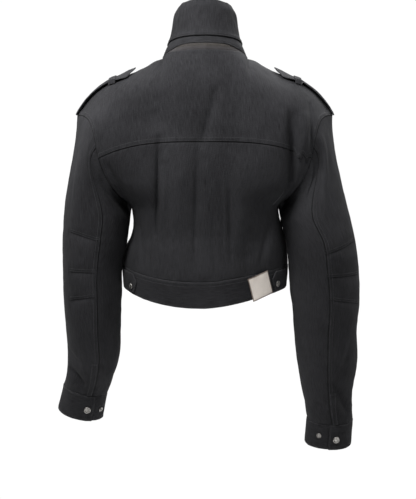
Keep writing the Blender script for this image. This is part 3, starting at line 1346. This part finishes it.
# Profiles of the fastenings, as shares of their radius and height, from the top down
PROFILES = {
    # a rolled rim, a groove and a shallow dish with a low centre
    "cap": ((0.00, 0.70), (0.16, 0.69), (0.30, 0.60), (0.50, 0.56), (0.62, 0.62), (0.70, 0.80),
            (0.78, 0.97), (0.86, 1.00), (0.94, 0.90), (0.99, 0.66), (1.00, 0.40), (0.97, 0.14),
            (0.92, -0.10), (0.00, -0.10)),
    # a domed middle inside a raised ring
    "button": ((0.00, 1.00), (0.18, 0.97), (0.34, 0.84), (0.46, 0.60), (0.56, 0.50), (0.66, 0.62),
               (0.78, 0.88), (0.88, 0.90), (0.96, 0.70), (1.00, 0.42), (0.96, 0.12), (0.90, -0.10),
               (0.00, -0.10)),
    # a flat ring and a post with a waist
    "post": ((0.00, 1.00), (0.20, 0.99), (0.33, 0.90), (0.37, 0.76), (0.33, 0.60), (0.35, 0.44),
             (0.48, 0.36), (0.66, 0.38), (0.78, 0.52), (0.88, 0.55), (0.97, 0.42), (1.00, 0.24),
             (0.96, 0.04), (0.90, -0.10), (0.00, -0.10)),
}


def plain_mesh(name, obj, finish):
    """A Geometry Nodes result as an object with a plain mesh."""
    graph = bpy.context.evaluated_depsgraph_get()
    mesh = bpy.data.meshes.new_from_object(obj.evaluated_get(graph), depsgraph=graph)
    bpy.data.objects.remove(obj, do_unlink=True)
    mesh.name = name
    if "facing" in mesh.attributes:
        mesh.attributes.remove(mesh.attributes["facing"])
    mesh.materials.clear()
    mesh.materials.append(material(finish))
    return linked(name, mesh)


def rows_object(name, rows):
    """An object whose edges run along rows of (points, normals)."""
    points, facing, edges, count = [], [], [], 0
    for line, normals in rows:
        points += line.tolist()
        facing += normals.tolist()
        edges += [(count + i, count + i + 1) for i in range(len(line) - 1)]
        count += len(line)
    mesh = bpy.data.meshes.new(name)
    mesh.from_pydata(points, edges, [])
    layer = mesh.attributes.new("facing", "FLOAT_VECTOR", "POINT")
    layer.data.foreach_set("vector", np.array(facing, np.float32).ravel())
    return linked(name + "_rows", mesh)


def repeat_tree(name, sizes, shape):
    """A node tree that sets a shape at even steps along an object's edges.

    sizes are its named inputs and their defaults; shape adds the nodes of one copy.
    """
    tree = bpy.data.node_groups.new(name, "GeometryNodeTree")
    sockets = tree.interface
    sockets.new_socket("Geometry", in_out="INPUT", socket_type="NodeSocketGeometry")
    for label, default in sizes.items():
        kind = "NodeSocketInt" if isinstance(default, int) else "NodeSocketFloat"
        sockets.new_socket(label, in_out="INPUT", socket_type=kind).default_value = default
    sockets.new_socket("Material", in_out="INPUT", socket_type="NodeSocketMaterial")
    sockets.new_socket("Geometry", in_out="OUTPUT", socket_type="NodeSocketGeometry")
    given = add(tree, "NodeGroupInput").outputs
    curve = add(tree, "GeometryNodeMeshToCurve", {"Mesh": given["Geometry"]}).outputs[0]
    even = add(tree, "GeometryNodeResampleCurve", {"Curve": curve, "Length": given["Pitch"]},
               mode="LENGTH").outputs[0]
    along = add(tree, "GeometryNodeInputTangent").outputs[0]
    facing = add(tree, "GeometryNodeInputNamedAttribute", {"Name": "facing"},
                 data_type="FLOAT_VECTOR").outputs["Attribute"]
    turn = add(tree, "FunctionNodeAlignRotationToVector", {"Vector": along}, axis="X").outputs[0]
    turn = add(tree, "FunctionNodeAlignRotationToVector", {"Rotation": turn, "Vector": facing},
               axis="Z", pivot_axis="X").outputs[0]
    size = add(tree, "FunctionNodeRandomValue", {"Seed": given["Seed"], 2: 0.88, 3: 1.10},
               data_type="FLOAT")
    copies = add(tree, "GeometryNodeInstanceOnPoints",
                 {"Points": even, "Instance": shape(tree, given), "Rotation": turn,
                  "Scale": size.outputs[1]}).outputs[0]
    real = add(tree, "GeometryNodeRealizeInstances", {"Geometry": copies}).outputs[0]
    dressed = add(tree, "GeometryNodeSetMaterial", {"Geometry": real,
                                                    "Material": given["Material"]}).outputs[0]
    smooth = add(tree, "GeometryNodeSetShadeSmooth", {"Geometry": dressed}).outputs[0]
    add(tree, "NodeGroupOutput", {"Geometry": smooth})
    return tree


def numbers(tree, *values):
    """A vector of numbers or sockets."""
    return add(tree, "ShaderNodeCombineXYZ", dict(enumerate(values))).outputs[0]


def one_stitch(tree, given):
    """A short round thread that dips into the cloth at both ends."""
    back, half = (product(tree, given["Stitch Length"], share) for share in (-0.5, 0.5))
    sunk, crown = (product(tree, given["Thread Radius"], share) for share in (-0.7, 1.6))
    line = add(tree, "GeometryNodeCurveQuadraticBezier",
               {"Resolution": 3, "Start": numbers(tree, back, 0.0, sunk),
                "Middle": numbers(tree, 0.0, 0.0, crown),
                "End": numbers(tree, half, 0.0, sunk)}).outputs[0]
    ring = add(tree, "GeometryNodeCurvePrimitiveCircle",
               {"Resolution": 4, "Radius": given["Thread Radius"]}).outputs["Curve"]
    return add(tree, "GeometryNodeCurveToMesh", {"Curve": line, "Profile Curve": ring,
                                                 "Fill Caps": True}).outputs[0]


def one_tooth(tree, given):
    """One turn of a zip's coil: a low flattened bar across the tape."""
    size = numbers(tree, given["Tooth Width"], given["Tooth Reach"], given["Tooth Height"])
    bar = add(tree, "GeometryNodeMeshCube", {"Size": size}).outputs["Mesh"]
    return add(tree, "GeometryNodeSubdivisionSurface", {"Mesh": bar, "Level": 1}).outputs[0]


def repeated(name, rows, tree, finish, sizes):
    """Run a tree over rows, with its inputs set by their sockets, and keep the plain mesh."""
    obj = rows_object(name, rows)
    change = obj.modifiers.new("Repeat", "NODES")
    change.node_group = tree
    values = dict(sizes, Material=material(finish))
    for item in tree.interface.items_tree:
        if item.in_out == "INPUT" and item.name in values:
            change[item.identifier] = values[item.name]
    bpy.context.view_layer.update()
    return plain_mesh(name, obj, finish)


def lathe(name, profile, matrix, finish):
    """A profile of (radius, height) rows from the top down, turned about its matrix's Z axis."""
    steps = LATHE_STEPS
    turn = np.linspace(0, 2 * np.pi, steps, endpoint=False)
    rings = [(radius * np.cos(turn), radius * np.sin(turn), height + 0 * turn)
             for radius, height in profile[1:-1]]
    verts = np.concatenate([np.stack(ring, axis=-1) for ring in rings])
    verts = np.concatenate((verts, [(0, 0, profile[0][1]), (0, 0, profile[-1][1])]))
    top, foot, last = len(verts) - 2, len(verts) - 1, (len(rings) - 1) * steps
    faces = []
    for i in range(steps):
        j = (i + 1) % steps
        faces.append((top, i, j))
        faces.append((foot, last + j, last + i))
        for ring in range(len(rings) - 1):
            k = ring * steps
            faces.append((k + i, k + steps + i, k + steps + j, k + j))
    mesh = bpy.data.meshes.new(name)
    mesh.from_pydata([matrix @ Vector(v) for v in verts], [], faces)
    mesh.shade_smooth()
    mesh.set_sharp_from_angle(angle=METAL_SMOOTH_TO)
    mesh.materials.append(material(finish))
    return linked(name, mesh)


def scaled(kind, radius, height):
    """A fastening's profile in metres."""
    return [(radius * r, height * h) for r, h in PROFILES[kind]]


def seat(node, point):
    """A matrix on a piece's outer face, nearest to a point, whose Z axis leaves the face."""
    points, facing = MADE[node].touch([point])
    matrix = Vector(facing[0]).to_track_quat("Z", "Y").to_matrix().to_4x4()
    matrix.translation = Vector(points[0])
    return matrix


# ---- the pieces

def sew_torso():
    """The yoke, the back and the two fronts."""
    edges = {
        "back_yoke": ("lap", "lap", "lap", "lap"),
        "back_panel": ("under", "under", "lap", "lap"),
        "front_left": ("under", "under", "plain", "lap"),
        "front_right": ("under", "under", "lap", "plain"),
    }
    for name, points in torso_grids().items():
        laps = [(edge, "lap", 0.01, 0.99) for edge, kind in zip(EDGES[2:], edges[name][2:])
                if kind == "lap"]
        sewn("stitches_torso", name, points, level_axis(points), edges[name], 0.0, CLOTH, 1.0, *laps)
    yoke = MADE["back_yoke"]
    yoke.sew("stitches_torso", "bottom", "yoke")
    yoke.sew("stitches_torso", "top", "neck")
    for corners in BACK_MOTIF:
        steps = np.linspace(0, len(corners) - 1, 12 * len(corners))
        x, z = (np.interp(steps, range(len(corners)), axis) for axis in zip(*corners))
        path = torso_points(x, z, 1)
        MADE["back_panel"].sew_over("seam_edges", path)
        MADE["back_panel"].sew_over("stitches_torso", path + (0.0, 0.0, MOTIF_STITCH))


def sew_waistband():
    """The waistband's back and its two fronts, doubled and folded."""
    turn = waist_angles()
    spans = {
        "waistband_back": (np.concatenate((-turn[::-1], turn[1:])), ("lap", "lap")),
        "waistband_left": (180 - turn, ("plain", "under")),
        "waistband_right": (turn[::-1] - 180, ("under", "plain")),
    }
    shares = np.linspace(0, 1, 15)[:, None]
    for name, (angle, ends) in spans.items():
        points = waist_points(angle[None, :], shares)
        laps = [(edge, "single") for edge, kind in zip(EDGES[2:], ends) if kind == "lap"]
        sewn("stitches_waist", name, points, level_axis(points), ("fold", "fold", *ends), BAND_PROUD,
             DOUBLE, 0.8, ("top", "waist"), ("bottom", "hem"), *laps, warp="across")


def sew_collar():
    """The zip's tape, the band above it and the collar's back and sides."""
    seam, reach = COLLAR_SEAM, ZIP_REACH
    high = (BAND_TOP, 1.0, COLLAR_ROWS)
    band = ("plain", "plain")
    pieces = {
        "collar_zip_tape": ((-reach, reach, 0.0, BAND_FOOT, BAND_ROWS), ("plain", "under", *band),
                            -TAPE_SUNK, CLOTH),
        "collar_band": ((-180, 180, band_foot, BAND_TOP, BAND_ROWS), ("under", "fold", *band),
                        0.0, CLOTH),
        "collar_back": ((-seam, seam, *high), ("fold", "lap", "lap", "lap"), COLLAR_PROUD, DOUBLE),
        "collar_left": ((seam, 180, *high), ("fold", "lap", "under", "plain"), COLLAR_PROUD, DOUBLE),
        "collar_right": ((-180, -seam, *high), ("fold", "lap", "plain", "under"), COLLAR_PROUD,
                         DOUBLE),
    }
    for name, (span, edges, proud, thickness) in pieces.items():
        points = collar_grid(*span)
        cloth = Cloth(name, points, level_axis(points), edges, proud, thickness, pucker=0.8)
        cloth.build("zip_tape" if name == "collar_zip_tape" else "denim",
                    warp="across" if name == "collar_band" else "down")
        if thickness == DOUBLE:
            cloth.sew("stitches_collar", "top", "collar top")
            cloth.sew("stitches_collar", "bottom", "collar foot")
    MADE["collar_band"].sew("stitches_collar", "bottom", "band foot")
    MADE["collar_band"].sew("stitches_collar", "top", "band top")
    for edge in ("first", "last"):
        MADE["collar_back"].sew("stitches_collar", edge, "collar seam", end=0.97)


def sew_sleeves():
    """The sleeves' top and under pieces, with their seams and elbow darts."""
    edges = {"top": ("under", "under", "lap", "lap"), "under": ("under",) * 4}
    for side in SIDES:
        grids = sleeve_grids(side)
        inside = np.concatenate(list(grids.values()), axis=1).mean(axis=1, keepdims=True)
        for name, points in grids.items():
            Cloth(name, points, inside, edges[name.rsplit("_", 1)[1]]).build()
        top, group = MADE[f"sleeve_{side}_top"], f"stitches_sleeve_{side}"
        top.sew(group, "last", "lap")
        top.sew(group, "first", "single")
        folds = SLEEVE_CREASES[side]
        for i in DARTS[side]:
            along = np.linspace(folds["x0"][i], folds["x1"][i] + DART_OVER, 20)
            z = np.interp(along, (folds["x0"][i], folds["x1"][i]), (folds["z0"][i], folds["z1"][i]))
            for rise in (DART_EDGE, *DART_ROWS):
                path = sleeve_points(side, np.degrees(along / SLEEVE_GIRTH), z + rise)
                top.sew_over("seam_edges" if rise == DART_EDGE else group, path)


def sew_cuffs():
    """The cuffs and the plackets beside their slits."""
    for side in SIDES:
        group, points = f"stitches_sleeve_{side}", cuff_grid(side)
        sewn(group, f"cuff_{side}", points, points.mean(axis=1, keepdims=True), ("fold",) * 4,
             BAND_PROUD, DOUBLE, 0.8, ("top", "cuff top", 0, 0.85), ("bottom", "wide", 0, 0.85),
             ("first", "wide", 0.05, 0.95), warp="across")
        points = sleeve_placket_grid(side)
        inside = sleeve_frame(side, points[:, :1, 2])[0]
        sewn(group, f"sleeve_placket_{side}", points, inside, ("fold",) * 4, CLEAR + CLOTH, CLOTH, 1.0,
             ("first", "single"), ("last", "single"), ("top", "single", 0.15, 0.85))


def sew_straps():
    """Shoulder straps, their loops and the waist's tabs."""
    group, below = "stitches_straps", np.array((0.0, 0.0, 0.05))
    for side in SIDES:
        points = epaulette_grid(side)
        sewn(group, f"epaulette_{side}", points, points - below, ("fold", "under", "fold", "fold"),
             DOUBLE, DOUBLE, 0.7, ("first", "wide", 0.03), ("last", "wide", 0.03),
             ("top", "wide", 0.14, 0.86))
        points = loop_grid(side)
        sewn(group, f"epaulette_loop_{side}", points, points - below,
             ("fold", "fold", "plain", "plain"), CLOTH, CLOTH, 0.4, ("top", "loop"),
             ("bottom", "loop"), warp="across")
        points = tab_grid(side)
        sewn(group, f"waist_tab_{side}", points, level_axis(points), ("fold", "fold", "under", "fold"),
             BAND_PROUD + ON_CURVE + DOUBLE, DOUBLE, 0.7, ("top", "tab", 0, 0.92),
             ("bottom", "tab", 0, 0.92), ("last", "tab", 0.08, 0.92), warp="across")


def sew_front():
    """The strip over the closed front."""
    points, proud = placket_grid()
    sewn("stitches_torso", "front_placket", points, level_axis(points), ("fold",) * 4, proud, DOUBLE,
         0.8, ("first", "front", 0.012, 0.99), ("last", "front", 0.012, 0.99),
         ("top", "wide", 0.08, 0.92))


def sew_patch():
    """The bare patch over the waistband."""
    points = patch_grid()
    sewn("stitches_patch", "patch", points, level_axis(points), ("fold",) * 4,
         BAND_PROUD + ON_CURVE + PATCH_THICKNESS, PATCH_THICKNESS, 0.5,
         *((edge, "patch", 0.04, 0.96) for edge in EDGES), finish="patch_cloth")


def set_fastenings():
    """Snap caps and studs on the cuffs and the front, and the waist's buttons."""
    jobs = []
    for side, hand in SIDES.items():
        cuff, tab = f"cuff_{side}", f"waist_tab_{side}"
        button = waist_points(hand * (TAB_END[side] + TAB_POINT), BUTTON_DOWN) * BUTTON_OUT
        jobs += [(f"cuff_snap_{side}", cuff, cuff_points(side, *CUFF_SNAP[side]), "cap", SNAP_RADIUS),
                 (f"cuff_stud_{side}", cuff, cuff_points(side, *CUFF_STUD[side]), "post", STUD_RADIUS),
                 (f"waist_button_{side}", tab, button, "button", BUTTON_RADIUS)]
    for number, z in FRONT_SNAPS.items():
        if z > NECK_FRONT_Z:
            point = collar_points(180, np.interp(z, COLLAR["front_z"], COLLAR["height"]))
        else:
            point = torso_points(0.0, z, -1)
        jobs.append((f"front_snap_{number}", "front_placket", point - (0.0, SNAP_OUT, 0.0), "cap",
                     SNAP_RADIUS))
    for node, carrier, point, kind, radius in jobs:
        profile = scaled(kind, radius, SNAP_HEIGHT)
        ride(lathe(node + "_metal", profile, seat(carrier, point), "old_metal"), "old_metal", node)


def set_zip():
    """The zip's chain along the collar's tape; its slider and pull tab stay as they are."""
    settings = bpy.context.scene.jacket_stitches
    sizes = {"Pitch": settings.tooth_pitch, **TOOTH, "Seed": 3}
    angle = np.linspace(CHAIN_FREE[0] - ZIP_REACH, ZIP_REACH - CHAIN_FREE[1], 200)
    height, drop = CHAIN_HEIGHT
    height = BAND_FOOT * (height - drop * blend((np.abs(angle) - CHAIN_DROPS[0]) / CHAIN_DROPS[1]))
    line = MADE["collar_zip_tape"].touch(collar_points(angle, height))
    tree = repeat_tree("Zip chain along its tape", sizes, one_tooth)
    chain = repeated("zip_chain", [line], tree, "chain_metal", sizes)
    ride(chain, "old_metal")
    for name in ("collar_zip_slider", "collar_zip_pull"):
        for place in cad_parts[name].material_slots:
            place.material = material("old_metal")


def sew_stitches():
    """Every row of stitches that the pieces asked for."""
    settings = bpy.context.scene.jacket_stitches
    plain = {"Pitch": settings.pitch, "Stitch Length": settings.length,
             "Thread Radius": settings.thread_radius, "Seed": 11}
    tree = repeat_tree("Stitches along seams", plain, one_stitch)
    special = {
        "stitches_patch": ("brown_thread", {"Pitch": settings.overlock_pitch}),
        "seam_edges": ("seam_edge", {"Stitch Length": 1.25 * settings.pitch,
                                     "Thread Radius": settings.edge_radius}),
    }
    for group, rows in SEWN.items():
        finish, changes = special.get(group, ("thread", {}))
        ride(repeated(group, rows, tree, finish, {**plain, **changes}), "denim")


def aimed(name, data, place, target):
    """A camera or a lamp at a place, turned to a target."""
    obj = linked(name, data)
    obj.location = place
    obj.rotation_euler = (Vector(target) - obj.location).to_track_quat("-Z", "Y").to_euler()
    return obj


def set_stage():
    """The camera, the pale floor and the soft light."""
    settings = bpy.context.scene.jacket_stage
    scene = bpy.context.scene
    scene.view_settings.view_transform = "Standard"
    lens = bpy.data.cameras.new("camera")
    lens.lens, lens.sensor_width, lens.clip_end = LENS, 36.0, 100.0
    scene.camera = aimed("camera", lens, CAMERA, CAMERA_AIM)

    mesh = bpy.data.meshes.new("floor")
    turn = np.linspace(0, 2 * np.pi, FLOOR_CORNERS, endpoint=False)
    reach = settings.floor_reach
    ring = np.stack((reach * np.cos(turn), reach * np.sin(turn), 0 * turn + settings.floor_height), -1)
    mesh.from_pydata(ring.tolist(), [], [list(range(FLOOR_CORNERS))])
    floor = linked("floor", mesh)
    paper = bpy.data.materials.new("pale_floor")
    paper.use_nodes = True
    tree, pale = paper.node_tree, settings.floor_colour
    cloud = ranged(tree, noise(tree, in_object(tree), (2, 2, 2)), 0.3, 0.7)
    colour = mixed(tree, cloud, pale, [0.985 * value for value in pale])
    finished(tree, colour, Roughness=0.9, Specular_IOR_Level=0.1)
    mesh.materials.append(paper)

    world = bpy.data.worlds.new("studio")
    world.use_nodes = True
    tree = world.node_tree
    place = add(tree, "ShaderNodeTexCoord").outputs["Generated"]
    parts = add(tree, "ShaderNodeSeparateXYZ", {"Vector": place}).outputs
    above = ranged(tree, parts["Z"], -0.2, 1.0, settings.sky_below, settings.sky_above)
    aside = ranged(tree, parts["X"], -1.0, 1.0, 0.78, 1.22)
    soft = product(tree, above, aside)
    seen = add(tree, "ShaderNodeLightPath").outputs["Is Camera Ray"]
    light = tree.nodes["Background"]
    light.inputs["Color"].default_value = (1.0, 1.0, 1.0, 1.0)
    strength = add(tree, "ShaderNodeMix", {0: seen, 2: soft, 3: 1.02}, data_type="FLOAT")
    tree.links.new(strength.outputs[0], light.inputs["Strength"])
    scene.world = world
    lamps = {
        "key": ((1.1, 1.5, 1.9), 1.1, settings.key),
        "fill": ((-2.0, 1.4, 1.8), 1.8, settings.fill),
        "front": ((-1.4, -2.4, 2.6), 1.8, settings.front),
        "left": ((3.0, -0.9, 1.0), 1.6, settings.sides),
        "right": ((-3.0, -0.9, 1.0), 1.6, settings.sides),
    }
    for name, (place, size, power) in lamps.items():
        lamp = bpy.data.lights.new(name, "AREA")
        lamp.shape, lamp.size, lamp.energy = "DISK", size, power
        aimed(name, lamp, place, LAMPS_AIM)


# ---- the add-on

def colour_of(name, description, value):
    """A colour that a user may change."""
    return FloatVectorProperty(name=name, description=description, default=value, subtype="COLOR",
                               size=3, min=0.0, max=1.0)


def size_of(name, description, value):
    """A size in metres that a user may change."""
    return FloatProperty(name=name, description=description, default=value, subtype="DISTANCE",
                         unit="LENGTH", precision=5)


def light_of(name, description, value, unit="POWER"):
    """A strength of light that a user may change."""
    return FloatProperty(name=name, description=description, default=value, min=0.0, unit=unit)


class JacketCloth(PropertyGroup):
    """Sizes of the cloth's relief."""
    lap_height: size_of("Lap Height", "How far the turned-in cloth lifts a lapped seam", 0.0008)
    pucker_depth: size_of("Pucker Depth", "How deep the cloth puckers beside a sewn seam", 0.0007)
    hand_depth: size_of("Unevenness", "How far the cloth wavers between its folds", 0.0009)


class JacketStitches(PropertyGroup):
    """Sizes of the stitching and the zip's chain."""
    pitch: size_of("Pitch", "Distance from one stitch to the next", 0.0030)
    length: size_of("Stitch Length", "Length of a stitch on the face", 0.0025)
    thread_radius: size_of("Thread Radius", "Half the thread's thickness", 0.00030)
    overlock_pitch: size_of("Overlock Pitch", "Distance between the patch's edge stitches", 0.0016)
    edge_radius: size_of("Seam Edge", "Half the thickness of a dart's pressed edge", 0.0004)
    tooth_pitch: size_of("Tooth Pitch", "Distance between the zip's teeth", 0.0014)


class JacketColours(PropertyGroup):
    """Colours of every finish."""
    denim_dark: colour_of("Denim, Dark", "Dark warp threads", (0.0036, 0.0036, 0.0040))
    denim_light: colour_of("Denim, Light", "Pale slubs in the warp", (0.0325, 0.0325, 0.0353))
    denim_fleck: colour_of("Denim, Fleck", "Undyed specks in the yarn", (0.085, 0.085, 0.090))
    denim_worn: colour_of("Denim, Worn", "Rubbed edges and seam ridges", (0.040, 0.040, 0.0425))
    reverse_dark: colour_of("Reverse, Dark", "Dark threads inside", (0.020, 0.020, 0.022))
    reverse_light: colour_of("Reverse, Light", "Pale weft inside", (0.075, 0.075, 0.080))
    tape_light: colour_of("Zip Tape, Pale", "The tape above the chain", (0.028, 0.0245, 0.0228))
    tape_dark: colour_of("Zip Tape, Dark", "The tape below the chain", (0.0245, 0.0215, 0.0228))
    tape_gap: colour_of("Zip Tape, Gaps", "Between the tape's ribs", (0.015, 0.014, 0.014))
    metal_light: colour_of("Metal, Rubbed", "Metal where it is rubbed bright", (0.30, 0.29, 0.275))
    metal_dark: colour_of("Metal, Patina", "Metal in its dark patina", (0.070, 0.066, 0.062))
    chain_light: colour_of("Zip Chain, Rubbed", "The chain where it is rubbed", (0.052, 0.044, 0.037))
    chain_dark: colour_of("Zip Chain, Tarnish", "The chain's tarnish", (0.023, 0.020, 0.017))
    patch_light: colour_of("Patch, Pale", "The patch's pale threads", (0.62, 0.57, 0.52))
    patch_dark: colour_of("Patch, Shade", "The patch's shaded threads", (0.42, 0.38, 0.34))
    patch_edge: colour_of("Patch, Edge", "The patch's brown edge", (0.085, 0.055, 0.040))
    brown_dark: colour_of("Brown Thread", "Dark strands of the patch's thread", (0.035, 0.022, 0.016))
    edge_dark: colour_of("Seam Edge, Dark", "The pressed edges of the darts", (0.0025, 0.0025, 0.0028))
    thread_light: colour_of("Thread, Light", "Light strands of the thread", (0.024, 0.024, 0.026))
    thread_dark: colour_of("Thread, Dark", "Dark strands of the thread", (0.0060, 0.0060, 0.0066))


class JacketStage(PropertyGroup):
    """The floor and the light."""
    floor_height: size_of("Floor Height", "Height of the floor", -1.30)
    floor_colour: colour_of("Floor Colour", "The pale floor", (0.80, 0.80, 0.80))
    floor_reach: size_of("Floor Reach", "Radius of the round floor", 1.25)
    sky_above: light_of("Light Above", "Strength of the soft light from above", 1.05, "NONE")
    sky_below: light_of("Light Below", "Strength of the soft light from below", 0.09, "NONE")
    key: light_of("Main Light", "Power of the main soft lamp", 140.0)
    fill: light_of("Fill Light", "Power of the lamp opposite", 36.0)
    front: light_of("Front Light", "Power of the lamp before the front", 136.0)
    sides: light_of("Side Lights", "Power of each lamp beside the jacket", 70.0)


class JACKET_OT_torso(Operator):
    """Cut and sew the yoke, the back and the two fronts"""
    bl_idname = "jacket.torso"
    bl_label = "Yoke, Back and Fronts"

    def execute(self, context):
        sew_torso()
        return {"FINISHED"}


class JACKET_OT_waistband(Operator):
    """Sew the doubled waistband"""
    bl_idname = "jacket.waistband"
    bl_label = "Waistband"

    def execute(self, context):
        sew_waistband()
        return {"FINISHED"}


class JACKET_OT_collar(Operator):
    """Sew the funnel collar, its band and the zip's tape"""
    bl_idname = "jacket.collar"
    bl_label = "Collar"

    def execute(self, context):
        sew_collar()
        return {"FINISHED"}


class JACKET_OT_sleeves(Operator):
    """Cut and sew both sleeves with their elbow darts"""
    bl_idname = "jacket.sleeves"
    bl_label = "Sleeves"

    def execute(self, context):
        sew_sleeves()
        return {"FINISHED"}


class JACKET_OT_cuffs(Operator):
    """Sew the cuffs and the sleeves' plackets"""
    bl_idname = "jacket.cuffs"
    bl_label = "Cuffs"

    def execute(self, context):
        sew_cuffs()
        return {"FINISHED"}


class JACKET_OT_straps(Operator):
    """Sew the shoulder straps, their loops and the waist's tabs"""
    bl_idname = "jacket.straps"
    bl_label = "Straps and Tabs"

    def execute(self, context):
        sew_straps()
        return {"FINISHED"}


class JACKET_OT_front(Operator):
    """Sew the strip over the closed front"""
    bl_idname = "jacket.front"
    bl_label = "Front Strip"

    def execute(self, context):
        sew_front()
        return {"FINISHED"}


class JACKET_OT_patch(Operator):
    """Sew the bare patch on"""
    bl_idname = "jacket.patch"
    bl_label = "Patch"

    def execute(self, context):
        sew_patch()
        return {"FINISHED"}


class JACKET_OT_fastenings(Operator):
    """Set the snaps, studs and buttons"""
    bl_idname = "jacket.fastenings"
    bl_label = "Snaps and Buttons"

    def execute(self, context):
        set_fastenings()
        return {"FINISHED"}


class JACKET_OT_zip(Operator):
    """Set the collar zip's chain and finish its slider"""
    bl_idname = "jacket.zip"
    bl_label = "Collar Zip"

    def execute(self, context):
        set_zip()
        return {"FINISHED"}


class JACKET_OT_stitches(Operator):
    """Run the stitches along every seam"""
    bl_idname = "jacket.stitches"
    bl_label = "Stitches"

    def execute(self, context):
        sew_stitches()
        return {"FINISHED"}


class JACKET_OT_stage(Operator):
    """Set the camera, the floor and the light"""
    bl_idname = "jacket.stage"
    bl_label = "Stage"

    def execute(self, context):
        set_stage()
        return {"FINISHED"}


GROUPS = {"jacket_cloth": JacketCloth, "jacket_stitches": JacketStitches,
          "jacket_colours": JacketColours, "jacket_stage": JacketStage}
OPERATORS = (JACKET_OT_torso, JACKET_OT_waistband, JACKET_OT_collar, JACKET_OT_sleeves,
             JACKET_OT_cuffs, JACKET_OT_straps, JACKET_OT_front, JACKET_OT_patch,
             JACKET_OT_fastenings, JACKET_OT_zip, JACKET_OT_stitches, JACKET_OT_stage)


class JACKET_PT_panel(Panel):
    """The jacket's settings and pieces"""
    bl_idname = "JACKET_PT_panel"
    bl_label = "Denim Jacket"
    bl_space_type = "VIEW_3D"
    bl_region_type = "UI"
    bl_category = "Jacket"

    def draw(self, context):
        layout = self.layout
        for name in GROUPS:
            settings = getattr(context.scene, name)
            box = layout.box()
            box.label(text=name.replace("_", " ").title())
            for item in settings.__annotations__:
                box.prop(settings, item)
        for operator in OPERATORS:
            layout.operator(operator.bl_idname)


def register():
    """Register the settings, the operators and the panel."""
    for name, group in GROUPS.items():
        bpy.utils.register_class(group)
        setattr(bpy.types.Scene, name, PointerProperty(type=group))
    for cls in (*OPERATORS, JACKET_PT_panel):
        bpy.utils.register_class(cls)


def unregister():
    """Take the panel, the operators and the settings out again."""
    for cls in (JACKET_PT_panel, *reversed(OPERATORS)):
        bpy.utils.unregister_class(cls)
    for name, group in GROUPS.items():
        delattr(bpy.types.Scene, name)
        bpy.utils.unregister_class(group)


def main():
    """Build every piece and the stage."""
    register()
    for operator in OPERATORS:
        area, name = operator.bl_idname.split(".")
        getattr(getattr(bpy.ops, area), name)()


if __name__ == "__main__":
    main()
